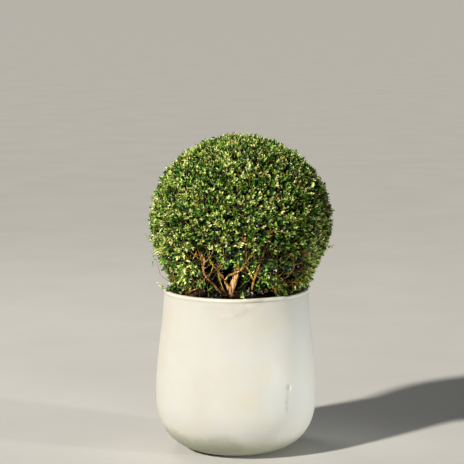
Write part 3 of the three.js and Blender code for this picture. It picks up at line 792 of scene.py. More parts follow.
def build_pot():
    """The turned pot with its soft lip, hand-finished side and drainage holes."""
    corners, faces = turned(pot_profile(), 200)
    finish_by_hand(corners)
    pot = make_piece("lime_washed_pot", corners, faces, LIME_WASH, "pot", "pot")
    cut_drain_holes(pot)
    pot.data.name = "lime_washed_pot"


def soil_height(x, y):
    """Height of the soil's top, with its low heaps and clods."""
    flat = np.stack([x, y, np.zeros_like(x)], axis=-1)
    broad = 0.0015 * np.sin(x / 0.031 + 1.7) * np.cos(y / 0.027 - 0.6)
    clods = 0.0016 * lumps(flat, 0.017, 11) + 0.0008 * lumps(flat, 0.007, 12)
    return SOIL_LEVEL + 0.0012 + broad + clods


def soil_places(count, reach, inner, random):
    """Places scattered over the soil out to a reach, with an inner share of that area left bare."""
    away = reach * np.sqrt(random.uniform(inner, 1, count))
    turn = random.uniform(0, TAU, count)
    x, y = away * np.cos(turn), away * np.sin(turn)
    return np.stack([x, y, soil_height(x, y)], axis=1)


def build_soil():
    """The compost in the pot, with its uneven top."""
    fit = 0.0003
    side = side_inwards(WALL + fit)
    side = side[side[:, 1] < SOIL_LEVEL - 0.008]
    heights = [side[-1][1], POT_HEIGHT - LIP_HEIGHT]
    edge = np.interp(SOIL_LEVEL, heights, [side[-1][0], RIM_RADIUS - WALL - fit])
    under = [(0, BASE_THICKNESS + fit), (side[0][0] - 0.003, BASE_THICKNESS + fit)]
    top = [(share * edge, SOIL_LEVEL) for share in np.linspace(0.995, 0.02, 56)]
    corners, faces = turned([*under, *side.tolist(), *top, (0, SOIL_LEVEL)], 150)
    shown = corners[:, 2] > SOIL_LEVEL - 0.0005
    corners[shown, 2] = soil_height(corners[shown, 0], corners[shown, 1])
    make_piece("compost_top", corners, faces, COMPOST, "soil", "soil")


def lump_shape():
    """The corners and faces of a small rounded grain: an icosahedron."""
    gold = (1 + 5**0.5) / 2
    corners = [
        (-1, gold, 0), (1, gold, 0), (-1, -gold, 0), (1, -gold, 0), (0, -1, gold), (0, 1, gold),
        (0, -1, -gold), (0, 1, -gold), (gold, 0, -1), (gold, 0, 1), (-gold, 0, -1), (-gold, 0, 1),
    ]
    faces = [
        (0, 11, 5), (0, 5, 1), (0, 1, 7), (0, 7, 10), (0, 10, 11), (1, 5, 9), (5, 11, 4), (11, 10, 2),
        (10, 7, 6), (7, 1, 8), (3, 9, 4), (3, 4, 2), (3, 2, 6), (3, 6, 8), (3, 8, 9), (4, 9, 5),
        (2, 4, 11), (6, 2, 10), (8, 6, 7), (9, 8, 1),
    ]
    return unit(np.array(corners)), np.array(faces)


def scattered_lumps(middles, sizes, flatness, random):
    """Corners and faces of many rough grains, each turned and squeezed its own way."""
    shape, triangles = lump_shape()
    count = len(middles)
    rough = shape[None] * random.uniform(0.7, 1.25, (count, len(shape), 1))
    squeeze = random.uniform(0.6, 1.1, (count, 1, 3)) * (1, 1, flatness)
    turn = random.uniform(0, TAU, count)
    spin = np.zeros((count, 3, 3))
    spin[:, 0, 0] = spin[:, 1, 1] = np.cos(turn)
    spin[:, 0, 1], spin[:, 1, 0] = -np.sin(turn), np.sin(turn)
    spin[:, 2, 2] = 1
    corners = np.einsum("nij,nkj->nki", spin, rough * squeeze) * sizes[:, None, None] + middles[:, None]
    faces = triangles[None] + len(shape) * np.arange(count)[:, None, None]
    return corners.reshape(-1, 3), faces.reshape(-1, 3).tolist()


def build_crumbs():
    """Crumbs of compost on the soil, a few spilt on the rim's left, and chips of twig among them."""
    random = np.random.default_rng(21)
    middles = soil_places(SOIL_CRUMBS, RIM_RADIUS - WALL - 0.003, 0, random)
    sizes = 0.0007 + 0.0022 * random.uniform(0, 1, SOIL_CRUMBS) ** 2.5
    middles[:, 2] += 0.3 * sizes
    rim_turn = math.pi + random.normal(0.12, 0.16, RIM_CRUMBS)
    rim_away = RIM_RADIUS - 0.5 * WALL + random.uniform(-0.003, 0.002, RIM_CRUMBS)
    rim_sizes = random.uniform(0.0007, 0.0021, RIM_CRUMBS)
    middles = np.vstack([middles, round_axis(rim_away, rim_turn, POT_HEIGHT + 0.3 * rim_sizes)])
    corners, faces = scattered_lumps(middles, np.concatenate([sizes, rim_sizes]), 0.8, random)
    make_piece("compost_crumbs", corners, faces, COMPOST, "soil", "soil", smooth=False)
    starts = soil_places(SOIL_CHIPS, LITTER_REACH, 0.05, random) + (0, 0, 0.0008)
    way = random.uniform(0, TAU, SOIL_CHIPS)
    lengths = random.uniform(0.004, 0.014, SOIL_CHIPS)
    ends = starts + lengths[:, None] * round_axis(1, way, random.uniform(-0.1, 0.25, SOIL_CHIPS))
    lines = np.stack([starts, 0.5 * (starts + ends) + (0, 0, 0.0006), ends], axis=1)
    radii = random.uniform(0.0004, 0.0010, (SOIL_CHIPS, 1)) * np.array([[0.8, 1.0, 0.6]])
    corners, faces = swept(lines, radii, 5)
    make_piece("fallen_twigs", corners, faces, TWIG_BARK, "bark", "soil")


# Stems


def bark_relief(turn, walked, random):
    """Height of long ridges round a stem, from about -1 to 1, wandering as they run along it."""
    height = np.zeros(np.broadcast(turn, walked).shape)
    for ridges, weight in ((5, 0.5), (8, 0.35), (13, 0.25)):
        phase, bend, pace = random.uniform(0, TAU), random.uniform(0.5, 1.3), random.uniform(90, 200)
        sway = bend * np.sin(pace * walked + phase)
        height += weight * (2 * np.abs(np.sin(0.5 * ridges * turn + phase + sway)) - 1)
    return height


def stem_mesh(name, seed):
    """Corners and faces of one limb with its bark's relief, knots and, on the trunk, low root flares."""
    through, foot, tip = LIMBS[name]
    is_trunk = name == "trunk"
    sides, spacing = (44, 0.0010) if is_trunk else (16, 0.0020)
    rough = np.random.default_rng(seed)
    length = np.linalg.norm(np.diff(through, axis=0), axis=1).sum()
    steps = int(length / spacing)
    line = smooth_line(through, steps)
    share = np.linspace(0, 1, steps + 1)
    if not is_trunk:
        crook = np.stack([np.sin(TAU * (k + 2.2) * share + rough.uniform(0, TAU)) for k in range(3)], axis=1)
        line = line + 0.0007 * crook * np.sin(np.pi * share)[:, None]
    along, across, other = line_frames(line)
    thick = foot + (tip - foot) * share**0.55
    for place in rough.uniform(0.12, 0.95, 4):
        thick = thick * (1 + 0.16 * np.exp(-(((share - place) * length / 0.0035) ** 2)))
    collar = 0 if is_trunk else 0.35 * np.exp(-share * length / 0.006)
    thick = thick * (1 + collar)
    turn = np.linspace(0, TAU, sides, endpoint=False)
    walked = share[:, None] * length
    relief = bark_relief(turn[None], walked, rough)
    depth = 0.15 if is_trunk else 0.09
    radii = thick[:, None] * (1 + depth * relief)
    out = turned_way(turn, across[:, None], other[:, None])
    if is_trunk:
        height = line[:, 2] - line[0, 2]
        flare = 0.65 + 0.35 * np.cos(3 * turn[None] + 0.6)
        radii = radii + 0.005 * np.exp(-height[:, None] / 0.009) * flare
        out[..., 2:] *= 1 - np.exp(-height / 0.006)[:, None, None]
    rings = line[:, None] + radii[..., None] * out
    corners = np.vstack([rings.reshape(-1, 3), line[0] - along[0] * 0.001, line[-1] + along[-1] * 0.6 * tip])
    first, last = len(corners) - 2, len(corners) - 1
    faces = []
    for k in range(sides):
        following = (k + 1) % sides
        for step in range(steps):
            low, high = step * sides, (step + 1) * sides
            faces.append([low + k, low + following, high + following, high + k])
        faces.append([first, following, k])
        faces.append([last, steps * sides + k, steps * sides + following])
    return corners, faces


def build_stems():
    """Each limb of the frame again, with its bark."""
    for seed, name in enumerate(LIMBS, 60):
        corners, faces = stem_mesh(name, seed)
        bark = BOUGH_BARK
        if name == "trunk":
            bark = TRUNK_BARK
        elif name in YOUNG_LIMBS:
            bark = YOUNG_BARK
        elif name in SHADED_LIMBS:
            bark = SHADED_BARK
        make_piece(f"{name}_bark", corners, faces, bark, "bark", name)


# The clipped outline


def ball_reach(directions):
    """How far the clipped outline lies from the ball's centre in each direction."""
    flat = np.hypot(directions[..., 0], directions[..., 1]) / BALL_RADIUS
    reach = 1 / np.hypot(flat, directions[..., 2] / BALL_HALF_HEIGHT)
    swell = 0
    for towards, extra, spread in SWELLS:
        apart = np.arccos(np.clip(directions @ unit(np.array(towards, float)), -1, 1)) / spread
        swell = swell + extra * np.exp(-(apart**2))
    return reach * (1 + swell)


def outline_share(points):
    """How far out points lie, where 1 is the clipped outline."""
    off = points - BALL_CENTRE
    away = np.linalg.norm(off, axis=-1)
    return away / ball_reach(off / np.maximum(away, 1e-6)[..., None])


def share_of(part, points):
    """How far points lie from the middle of a part of the crown, where 1 is the part's edge."""
    middle, radii = part
    return np.linalg.norm((points - middle) / radii, axis=-1)


def foliage_floor(points):
    """The lowest height that foliage may hang to: over the soil, and higher over the rim."""
    away = np.hypot(points[..., 0], points[..., 1])
    over = np.clip((away - (RIM_RADIUS - WALL - 0.010)) / 0.010, 0, 1)
    return SOIL_LEVEL + 0.007 + over * over * (3 - 2 * over) * (POT_HEIGHT - SOIL_LEVEL - 0.003)


def over_shown_soil(points):
    """Whether each point hangs in front of the soil that shows at the front."""
    edge = SOIL_VIEW_TOP + SOIL_VIEW_SLOPE * points[:, 1] + 0.004 * lumps(points * (1, 0, 0), 0.03, 31)
    across = points[:, 0] + 0.003 * lumps(points * (0, 0, 1), 0.02, 32)
    inside = np.zeros(len(points), bool)
    for left, right in SOIL_VIEWS:
        inside |= (across > left) & (across < right)
    return inside & (points[:, 1] < SOIL_VIEW_BACK) & (points[:, 2] < edge)


def spread_directions(count, random, shift):
    """Directions spread evenly over a ball, each shifted a little at random."""
    height = 1 - (2 * np.arange(count) + 1) / count
    ring = np.sqrt(1 - height**2)
    turn = math.pi * (3 - 5**0.5) * np.arange(count)
    return unit(round_axis(ring, turn, height) + shift * random.uniform(-0.5, 0.5, (count, 3)))


def forks(count, share, shift, random):
    """Places for forks at a share of the outline's reach, clear of the gap, the soil and the rim."""
    directions = spread_directions(count, random, shift)
    depth = share + random.uniform(-0.05, 0.05, count)
    places = BALL_CENTRE + directions * (depth * ball_reach(directions))[:, None]
    kept = (share_of(GAP, places) > 1.0) & (places[:, 2] > foliage_floor(places) + 0.004)
    return places[kept]


def thinned_front(places, share, random):
    """The places without most of those in the thin part at the lower front, where a share of them stays."""
    full = (share_of(THIN_FRONT, places) > 0.95) | (share_of(SHADE, places) < 1.1)
    return places[full | (random.uniform(0, 1, len(places)) < share)]


# Branches, twigs and leaves


def build_twigs(name, lines, skin, random):
    """Tapered twigs along many lines as one piece, each a little thicker or thinner than the next."""
    foot, tip, sides = TWIG_SIZES[name]
    radii = np.linspace(foot, tip, lines.shape[1])[None] * random.uniform(0.8, 1.2, (len(lines), 1))
    corners, faces = swept(lines, radii, sides)
    make_piece(name, corners, faces, skin, "bark", "foliage_ball")


def joined_lines(starts, headings, ends, steps, random):
    """From each end, a bent line back to the start that suits it best."""
    apart = ends[:, None] - starts[None]
    distance = np.linalg.norm(apart, axis=2)
    facing = (apart * headings[None]).sum(2) / np.maximum(distance, 1e-6)
    chosen = np.argmin(distance * (1.6 - facing), axis=1)
    reach = distance[np.arange(len(ends)), chosen]
    begin = starts[chosen]
    pull = begin + headings[chosen] * (0.35 * reach)[:, None] + random.normal(0, 0.0025, ends.shape)
    share = np.linspace(0, 1, steps)[None, :, None]
    left = 1 - share
    return left**2 * begin[:, None] + 2 * share * left * pull[:, None] + share**2 * ends[:, None]


def end_ways(lines):
    """The way that each line runs at its end."""
    return unit(lines[:, -1] - lines[:, -2])


def limb_starts():
    """Places on the limbs where inner branches spring, and the way that each limb runs there."""
    places, headings = [], []
    for name, (through, _, _) in LIMBS.items():
        line = smooth_line(through, 20)
        along = unit(np.gradient(line, axis=0))
        shares = (20,) if name == "trunk" else (11, 15, 18, 20)
        places += [line[k] for k in shares]
        headings += [along[k] for k in shares]
    return np.array(places), np.array(headings)


def limb_samples():
    """Close points down every limb with the limb's radius there, to keep leaves clear of the wood."""
    steps = 30
    points, radii = [], []
    for through, foot, tip in LIMBS.values():
        points.append(smooth_line(through, steps))
        radii.append(np.linspace(foot, tip, steps + 1))
    return np.vstack(points), np.concatenate(radii)


LIMB_POINTS, LIMB_RADII = limb_samples()


# How many points are measured against the limbs at once
AT_ONCE = 4000


def clear_of_limbs(points, gap):
    """Whether each point lies at least a gap away from every limb's surface."""
    clear = np.ones(len(points), bool)
    for start in range(0, len(points), AT_ONCE):
        part = points[start : start + AT_ONCE]
        distance = np.linalg.norm(part[:, None] - LIMB_POINTS[None], axis=2) - LIMB_RADII[None]
        clear[start : start + AT_ONCE] = distance.min(axis=1) > gap
    return clear


def shown_wood():
    """Close points down the limbs and slender stems that show at the front, with the radius there."""
    steps = 40
    points, radii = [], []
    for name, shown_from in SHOWN_LIMBS.items():
        through, foot, tip = LIMBS[name]
        line = smooth_line(through, steps)
        shown = (np.arange(steps + 1) <= SHOWN_SHARE * steps) & (line[:, 2] > shown_from)
        if name == "trunk":
            shown &= line[:, 2] < TRUNK_SHOWN_TO
        points.append(line[shown])
        radii.append(np.linspace(foot, tip, steps + 1)[shown])
    for through in SLENDER_STEMS:
        points.append(smooth_line(through, 24)[6:])
        radii.append(np.full(len(points[-1]), 0.0004))
    return np.vstack(points), np.concatenate(radii)


SHOWN_WOOD, SHOWN_RADII = shown_wood()


def hides_a_limb(points):
    """Whether each point lies right in front of a limb that shows, seen from the front and a little above."""
    hiding = np.zeros(len(points), bool)
    for start in range(0, len(points), AT_ONCE):
        apart = SHOWN_WOOD[None] - points[start : start + AT_ONCE, None]
        ahead = apart @ FRONT_VIEW
        aside = np.sqrt(np.maximum((apart**2).sum(2) - ahead**2, 0))
        in_front = (ahead > 0) & (aside < SHOWN_RADII[None] + HIDING_MARGIN)
        hiding[start : start + AT_ONCE] = in_front.any(axis=1)
    return hiding


def left_in(lines, random):
    """Which twigs grow: few of those that would cross the shown limbs, none over the shown soil."""
    crossing = np.zeros(len(lines), bool)
    for k in range(lines.shape[1]):
        crossing |= hides_a_limb(lines[:, k])
        if k:
            crossing |= hides_a_limb(0.5 * (lines[:, k] + lines[:, k - 1]))
    spared = random.uniform(0, 1, len(lines)) < CROSSING_TWIGS_LEFT
    return (~crossing | spared) & ~over_shown_soil(lines[:, 2])


def grown_ends(roots, directions, share, longest):
    """Where shoots that set out from their roots meet a share of the clipped outline."""
    length = np.full(len(roots), 0.03)
    for _ in range(6):
        ends = roots + directions * length[:, None]
        off = ends - BALL_CENTRE
        away = np.linalg.norm(off, axis=1)
        outward = off / away[:, None]
        slope = np.maximum((outward * directions).sum(1), 0.35)
        length = np.clip(length + (share * ball_reach(outward) - away) / slope, 0.008, longest)
    return roots + directions * length[:, None]


def shoot_lines(roots, ends, bend, random):
    """Four-point lines from root to end, each bowed a little to one side and mostly downwards."""
    share = SPRAY_STOPS[None, :, None]
    length = np.linalg.norm(ends - roots, axis=1)[:, None, None]
    bow = unit(random.normal(0, 1, (len(roots), 3)) + (0, 0, -0.8))[:, None]
    straight = roots[:, None] * (1 - share) + ends[:, None] * share
    return straight + bow * bend * length * share * (1 - share) * 4


def point_on(lines, share):
    """The point and heading at a share of each four-point line."""
    step = np.clip(np.searchsorted(SPRAY_STOPS, share, side="right") - 1, 0, 2)
    within = (share - SPRAY_STOPS[step]) / (SPRAY_STOPS[step + 1] - SPRAY_STOPS[step])
    rows = np.arange(len(lines))
    low, high = lines[rows, step], lines[rows, step + 1]
    return low + (high - low) * within[:, None], unit(high - low)


def leaf_pairs(lines, pairs, size, random):
    """Opposite leaves in crossed pairs from each shoot's tip down.

    Gives their feet, ways, faces and lengths, and the number of each one's shoot and pair.
    """
    count = len(lines)
    length = np.linalg.norm(np.diff(lines, axis=1), axis=2).sum(1)
    spin = random.uniform(0, TAU, count)
    aside = unit(np.cross(lines[:, -1] - lines[:, 0], random.normal(0, 1, (count, 3))))
    found = []
    for pair in range(pairs):
        share = 1 - (pair + 0.15) * LEAF_SPACING * random.uniform(0.85, 1.15, count) / length
        rows = np.nonzero(share > 0.10)[0]
        feet, heading = point_on(lines[rows], share[rows])
        across = unit(np.cross(heading, aside[rows]))
        other = np.cross(heading, across)
        opening = math.radians(24) + math.radians(36) * min(pair / 3, 1)
        for side in (0, math.pi):
            turn = spin[rows] + pair * math.pi / 2 + side + random.normal(0, 0.22, len(rows))
            out = turned_way(turn, across, other)
            wide = opening + random.normal(0, 0.24, len(rows))
            way = turned_way(wide, heading, out)
            face = np.sin(wide)[:, None] * heading - np.cos(wide)[:, None] * out
            roll = random.normal(0, 0.48, len(rows))
            face = turned_way(roll, face, np.cross(way, face))
            grown = size * (0.72 if pair == 0 else 1.0 + 0.05 * pair) * random.uniform(0.78, 1.16, len(rows))
            found.append((feet, way, face, grown, rows, np.full(len(rows), pair)))
    return [np.concatenate(each) for each in zip(*found)]


# A leaf's half-outline as (share of the length, share of the half-width)
LEAF_STATIONS = [(0.30, 0.90), (0.72, 0.88)]
LEAF_FACES = np.array([
    (0, 3, 2), (0, 2, 1), (1, 2, 5), (1, 5, 4), (2, 3, 6), (2, 6, 5), (4, 5, 7), (5, 6, 7),
])
INNER_LEAF_CORNERS = [0, 1, 3, 4, 6, 7]
INNER_LEAF_FACES = np.array([(0, 2, 1), (1, 2, 4), (1, 4, 3), (3, 4, 5)])


def leaf_mesh(feet, ways, faces_up, lengths, random, inner=False):
    """Corners and faces of many leaves: oval blades folded along the midrib, with tips that curl back.

    Inner leaves have the same outline without the fold.
    """
    count = len(feet)
    side = np.cross(ways, faces_up)
    half = 0.5 * LEAF_WIDTH_SHARE * lengths * random.uniform(0.85, 1.12, count)
    fold = random.uniform(0.16, 0.42, count)
    curl = random.uniform(0.02, 0.20, count)
    corners = [feet]
    for along, wide in LEAF_STATIONS:
        spine = feet + ways * (along * lengths)[:, None] - faces_up * (curl * along**2 * lengths)[:, None]
        rise = faces_up * (fold * half * wide)[:, None]
        reach = side * (half * wide)[:, None]
        corners += [spine - reach + rise, spine, spine + reach + rise]
    corners.append(feet + ways * lengths[:, None] - faces_up * (curl * lengths)[:, None])
    corners = np.stack(corners, axis=1)
    if inner:
        corners = corners[:, INNER_LEAF_CORNERS]
    shape = INNER_LEAF_FACES if inner else LEAF_FACES
    faces = shape[None] + corners.shape[1] * np.arange(count)[:, None, None]
    return corners.reshape(-1, 3), faces.reshape(-1, 3)


def kept_leaves(leaves, random, outer):
    """The leaves that stay: off soil and rim, clear of limbs, and few in front of those that show.

    Outer ones also keep inside the clipped outline, and are a little fewer at the thin front.
    """
    feet, ways, faces_up, lengths, _, _ = leaves
    tips = feet + ways * lengths[:, None]
    middles = 0.5 * (feet + tips)
    kept = (tips[:, 2] > foliage_floor(tips)) & (feet[:, 2] > foliage_floor(feet))
    kept &= ~over_shown_soil(tips) & ~over_shown_soil(middles)
    low = np.nonzero(kept & (tips[:, 2] < SHOWN_LIMBS_TOP))[0]
    hiding = hides_a_limb(tips[low]) | hides_a_limb(middles[low])
    kept[low[hiding & (random.uniform(0, 1, len(low)) < HIDING_LEAVES_LOST)]] = False
    if outer:
        kept &= outline_share(tips) < 1.03
        depth = share_of(THIN_FRONT, middles)
        chance = np.clip(0.90 + 0.10 * (depth - 0.80) / 0.40, 0.90, 1.0)
        kept &= random.uniform(0, 1, len(feet)) < chance
    rows = np.nonzero(kept)[0]
    low = rows[tips[rows, 2] < LIMBS_TOP]
    bad = low[~(clear_of_limbs(tips[low], LEAF_CLEARANCE) & clear_of_limbs(middles[low], LEAF_CLEARANCE))]
    kept[bad] = False
    return [each[kept] for each in leaves]


def leaves_on(lines, pairs, size, random, outer=False):
    """The leaves that stay of those that each shoot would bear."""
    return kept_leaves(leaf_pairs(lines, pairs, size, random), random, outer)


def grow_branches(random):
    """Branches from the limbs to even forks inside the ball, and from these to forks further out."""
    starts, headings = limb_starts()
    inner = forks(*INNER_FORKS, random)
    inner_lines = joined_lines(starts, headings, inner, 7, random)
    outer = thinned_front(forks(*OUTER_FORKS, random), FRONT_FORK_SHARE, random)
    all_starts = np.vstack([inner, starts])
    all_ways = np.vstack([end_ways(inner_lines), headings])
    outer_lines = joined_lines(all_starts, all_ways, outer, 6, random)
    build_twigs("inner_branches", inner_lines, TWIG_BARK, random)
    build_twigs("outer_branches", outer_lines, TWIG_BARK, random)
    return inner_lines, outer_lines


def grow_sprays(outer_lines, random):
    """Fine twigs from the outer forks, and from their ends the sprays out to the clipped outline."""
    roots = thinned_front(forks(*SPRAY_ROOTS, random), FRONT_SPRAY_SHARE, random)
    fine_lines = joined_lines(outer_lines[:, -1], end_ways(outer_lines), roots, 4, random)
    fine_lines = fine_lines[left_in(fine_lines, random)]
    build_twigs("fine_twigs", fine_lines, TWIG_BARK, random)
    roots = fine_lines[:, -1]
    outward = unit(roots - BALL_CENTRE)
    ways = unit(outward + 0.35 * end_ways(fine_lines) + 0.22 * UP + random.normal(0, 0.19, roots.shape))
    clip = random.uniform(0.945, 0.990, len(roots)) + 0.022 * (random.uniform(0, 1, len(roots)) < 0.10)
    sprays = shoot_lines(roots, grown_ends(roots, ways, clip, SPRAY_LONGEST), SPRAY_BEND, random)
    return sprays[left_in(sprays, random)]


def grow_side_sprays(sprays, random):
    """Shorter sprays from the sides of the others, and the number of the one that each springs from."""
    roots, ways, owners = [], [], []
    for share, chance in ((0.28, 0.85), (0.52, 0.75)):
        rows = np.nonzero(random.uniform(0, 1, len(sprays)) < chance)[0]
        at, heading = point_on(sprays[rows], np.full(len(rows), share))
        aside = unit(np.cross(heading, random.normal(0, 1, at.shape)))
        roots.append(at)
        ways.append(unit(0.75 * heading + 0.66 * aside + 0.1 * UP))
        owners.append(rows)
    roots, ways, owners = np.vstack(roots), np.vstack(ways), np.concatenate(owners)
    ends = grown_ends(roots, ways, random.uniform(0.93, 0.985, len(roots)), SIDE_SPRAY_LONGEST)
    lines = shoot_lines(roots, ends, SPRAY_BEND, random)
    stays = left_in(lines, random)
    return lines[stays], owners[stays]


def spray_tints(tips, random):
    """A tint for each spray: darker in the shade at the lower right, never the lightest between the stems."""
    tints = dealt_tints(len(tips), random)
    # Painted shade, partly older leaves: darker tints for the sprays at the lower right
    in_shade = share_of(SHADE, tips) < random.uniform(0.7, 1.2, len(tips))
    tints = np.where(in_shade, np.minimum(tints, random.integers(1, 3, len(tips))), tints)
    between_stems = share_of(THIN_FRONT, tips) < 0.92
    return np.where(between_stems, np.minimum(tints, MIDDLE_TINT), tints)


def build_crown():
    """Branches, twigs and sprays out to the clipped outline, and the leaves on all of them."""
    random = np.random.default_rng(41)
    inner_lines, outer_lines = grow_branches(random)
    sprays = grow_sprays(outer_lines, random)
    side_sprays, owners = grow_side_sprays(sprays, random)
    tints = spray_tints(sprays[:, -1], random)
    leaves = [
        (leaves_on(sprays, SPRAY_PAIRS, LEAF_LENGTH, random, outer=True), tints),
        (leaves_on(side_sprays, SIDE_SPRAY_PAIRS, 0.92 * LEAF_LENGTH, random, outer=True), tints[owners]),
    ]
    branch_points = np.vstack([inner_lines[:, 2:].reshape(-1, 3), outer_lines.reshape(-1, 3)])
    low_lines = low_shoots(branch_points, random)
    low_lines = low_lines[left_in(low_lines, random)]
    low_tints = np.clip(dealt_tints(len(low_lines), random), 1, MIDDLE_TINT)
    leaves.append((leaves_on(low_lines, LOW_SHOOT_PAIRS, 1.15 * LEAF_LENGTH, random), low_tints))
    slender_leaves = leaves_on(smooth_lines(SLENDER_STEMS, 3), SLENDER_STEM_PAIRS, LEAF_LENGTH, random)
    slender_tints = np.minimum(dealt_tints(len(SLENDER_STEMS), random), MIDDLE_TINT)
    leaves.append((slender_leaves, slender_tints))
    build_twigs("slender_stems", smooth_lines(SLENDER_STEMS, 12), SHOOT_SKIN, random)
    stray_lines = smooth_lines(STRAY_SPRIGS, 3)
    stray_leaves = leaf_pairs(stray_lines, STRAY_SPRIG_PAIRS, LEAF_LENGTH, random)
    leaves.append((stray_leaves, np.full(len(stray_lines), FRESH_SHEEN_TINT)))
    leaves.append((yellowed_leaf(), np.full(1, FRESH_SHEEN_TINT)))
    build_clipped_ends(random)
    shoots = np.concatenate([sprays, side_sprays, low_lines, stray_lines])
    build_twigs("spray_twigs", shoots[:, [0, 1, 3]], SHOOT_SKIN, random)
    build_leaves(leaves, random)


def yellowed_leaf():
    """The one large pale yellow leaf that stands upright on the right of the ball's front."""
    foot = np.array([(0.161, -0.093, 0.583)])
    way = unit(np.array([(0.28, -0.1, 1.0)]))
    face = np.array([(0, -1.0, 0.1)])
    face = unit(face - (face * way).sum() * way)
    return [foot, way, face, np.array([0.0135]), np.array([0]), np.array([0])]


def build_clipped_ends(random):
    """Bare twig ends that the shears have cut, scattered over the clipped outline."""
    directions = spread_directions(CLIPPED_ENDS, random, 0.10)
    reach = ball_reach(directions)
    ends = BALL_CENTRE + directions * (random.uniform(0.955, 0.995, CLIPPED_ENDS) * reach)[:, None]
    lean = unit(directions + 0.55 * UP + random.normal(0, 0.40, directions.shape))
    roots = ends - lean * random.uniform(0.018, 0.040, (CLIPPED_ENDS, 1))
    kept = (share_of(THIN_FRONT, ends) > 1) & (ends[:, 2] > foliage_floor(ends) + 0.01)
    build_twigs("clipped_ends", shoot_lines(roots[kept], ends[kept], 0.07, random), CUT_TWIG, random)


def dealt_tints(count, random):
    """A tint's number for each spray, dealt by the tints' shares."""
    shares = np.array([share for share, _, _ in LEAF_TINTS.values()])
    return random.choice(len(shares), size=count, p=shares / shares.sum())


def low_shoots(branch_points, random):
    """Shoots low beside the stems, short ones behind the limbs, and a leafy backing further in."""
    low = list(smooth_lines(LOW_SHOOTS, 3))
    for name, (through, _, _) in LIMBS.items():
        line = smooth_line(through, 40)
        along = unit(np.gradient(line, axis=0))
        count = 3 if name == "trunk" else 9
        for k in random.integers(14, 40, count):
            aside = unit(np.cross(along[k], random.normal(0, 1, 3)))
            aside[1] = abs(aside[1])
            way = unit(0.5 * along[k] + aside + 0.25 * UP)
            end = line[k] + way * random.uniform(0.016, 0.034)
            if end[2] > SHOOT_FLOOR:
                low.append(bent_shoot(line[k], end))
    in_depth = (branch_points[:, 1] > -0.07) & (branch_points[:, 1] < 0.13)
    behind = branch_points[(share_of(THIN_FRONT, branch_points) < 2.2) & in_depth]
    for start in behind[random.permutation(len(behind))[:BACKING_SHOOTS]]:
        way = unit(np.array((0.0, -0.45, 0.45)) + random.normal(0, 0.55, 3))
        end = start + way * random.uniform(0.022, 0.040)
        if end[2] > SHOOT_FLOOR:
            low.append(bent_shoot(start, end))
    return np.array(low)


def bent_shoot(start, end):
    """A short shoot that sags a little on its way from start to end."""
    sag = 0.08 * np.linalg.norm(end - start) * UP
    return smooth_line([start, start + 0.55 * (end - start) - sag, end], 3)


def aged_and_shaded_tints(tints, pairs, random):
    """Each leaf's tint by its place on the shoot: lighter at the tip and darker further in, partly as younger
    and older leaves, partly painted light and painted shade.
    """
    moved = np.round(tints + LIGHTER_BY_PAIR[pairs] + random.normal(0, 0.55, len(tints))).astype(int)
    return np.where(tints == DRY_TINT, DRY_TINT, np.clip(moved, 0, FRESH_SHEEN_TINT))


def build_leaves(groups, random):
    """All leaves joined by tint, each tint one piece."""
    joined = [np.concatenate(each) for each in zip(*[leaves for leaves, _ in groups])]
    feet, ways, faces_up, lengths, _, pairs = joined
    tints = [aged_and_shaded_tints(tint_of_shoot[leaves[4]], leaves[5], random) for leaves, tint_of_shoot in groups]
    tints = np.concatenate(tints)
    for number, (name, (_, tint, roughness)) in enumerate(LEAF_TINTS.items()):
        parts, blades, so_far = [], [], 0
        for inner in (False, True):
            chosen = (tints == number) & ((pairs >= FOLDED_PAIRS) == inner)
            made = leaf_mesh(feet[chosen], ways[chosen], faces_up[chosen], lengths[chosen], random, inner)
            parts.append(made[0])
            blades.append(made[1] + so_far)
            so_far += len(made[0])
        skin = leaf_skin(name, tint, roughness)
        make_piece(name, np.vstack(parts), np.vstack(blades).tolist(), skin, "leaf", "foliage_ball")


def build_fallen_leaves():
    """Dry leaves that lie on the soil and on the rim's left."""
    random = np.random.default_rng(77)
    on_soil = soil_places(FALLEN_LEAVES, LITTER_REACH, 0.05, random) + (0, 0, 0.0022)
    on_rim = round_axis(RIM_LEAF_AWAY, RIM_LEAF_TURNS, np.full(len(RIM_LEAF_TURNS), POT_HEIGHT + 0.001))
    feet = np.vstack([on_soil, on_rim])
    way = random.uniform(0, TAU, len(feet))
    ways = unit(round_axis(1, way, random.uniform(-0.05, 0.15, len(feet))))
    up = unit(UP + random.normal(0, 0.25, feet.shape))
    up = unit(up - (up * ways).sum(1)[:, None] * ways)
    corners, faces = leaf_mesh(feet, ways, up, random.uniform(0.008, 0.012, len(feet)), random)
    dry = leaf_skin("fallen_leaf", colour(150, 112, 66), 0.6)
    make_piece("fallen_leaves", corners, faces.tolist(), dry, "leaf", "foliage_ball")


# Stage


def build_floor():
    """A wide pale floor."""
    half = 200.0
    corners = [(-half, -half, 0), (half, -half, 0), (half, half, 0), (-half, half, 0)]
    mesh = bpy.data.meshes.new("pale_floor")
    mesh.from_pydata(corners, [], [(0, 1, 2, 3)])
    material, tree, shader = new_material("pale_floor", Roughness=0.85)
    ground, patch = colour(206, 205, 201), colour(200, 199, 195)
    pale = patched(tree, ground, patch, size=3.0, cover=0.5, softness=0.3)["Colour"]
    tree.links.new(pale, shader.inputs["Base Color"])
    mesh.materials.append(material)
    new_object("pale_floor", mesh)


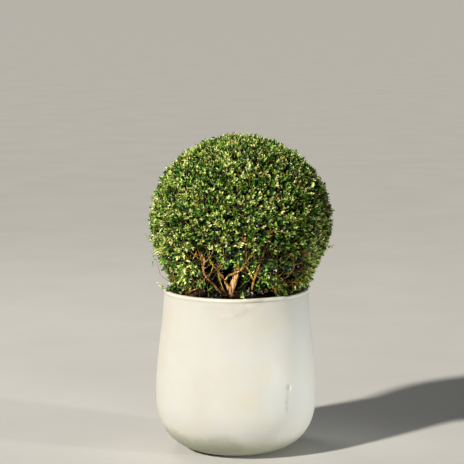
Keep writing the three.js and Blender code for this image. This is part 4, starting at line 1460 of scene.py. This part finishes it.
def hang_lamp(name, kind, place, aim, power, tint, **settings):
    """A light of one kind at a place, turned towards a point."""
    light = bpy.data.lights.new(name, kind)
    light.energy = power
    light.color = tint
    for label, value in settings.items():
        setattr(light, label, value)
    lamp = new_object(name, light)
    lamp.location = place
    lamp.rotation_euler = (Vector(aim) - Vector(place)).to_track_quat("-Z", "Y").to_euler()
    return lamp


def build_lamps():
    """Low warm sunlight from the left, a flat beam of it on the stems, and two soft lights."""
    warm = (1.0, 0.95, 0.86)
    hang_lamp("key", "SUN", (-2.72, -2.42, 2.7), (0, 0, 0.4), 4.5, warm, angle=math.radians(4))
    stems = hang_lamp(
        "stems", "SPOT", (-1.3, -3.2, 0.78), (0.019, -0.03, 0.390), 700.0, warm,
        spot_size=math.radians(3.7), spot_blend=0.3, shadow_soft_size=0.015,
    )
    stems.scale = (1.0, 0.47, 1.0)
    hang_lamp(
        "right", "AREA", (3.4, -1.7, 0.6), (0, 0, 0.12), 0.8, (0.95, 0.97, 0.95),
        size=0.5, spread=math.radians(10),
    )
    hang_lamp(
        "top", "AREA", (-1.3, 1.5, 2.6), (0, 0, 0.5), 20.0, (1.0, 0.98, 0.92),
        size=1.2, spread=math.radians(180),
    )


def build_sky():
    """Even pale light from all round."""
    world = bpy.data.worlds.new("pale_sky")
    world.use_nodes = True
    background = world.node_tree.nodes["Background"]
    background.inputs["Color"].default_value = (0.86, 0.91, 1.0, 1.0)
    background.inputs["Strength"].default_value = 0.065
    bpy.context.scene.world = world


def build_camera():
    """The photograph's view: a long lens a little above the plant."""
    camera = bpy.data.cameras.new("camera")
    camera.lens = 147.4
    camera.sensor_width = 36.0
    camera.clip_end = 1000.0
    holder = new_object("camera", camera)
    holder.location = (-0.009, -4.102, 1.010)
    holder.rotation_euler = (math.radians(90 - 7.4), 0, 0)
    bpy.context.scene.camera = holder


bpy.context.scene.view_settings.view_transform = "Standard"
build_camera()
build_floor()
build_sky()
build_lamps()
build_pot()
build_soil()
build_crumbs()
build_stems()
build_crown()
build_fallen_leaves()
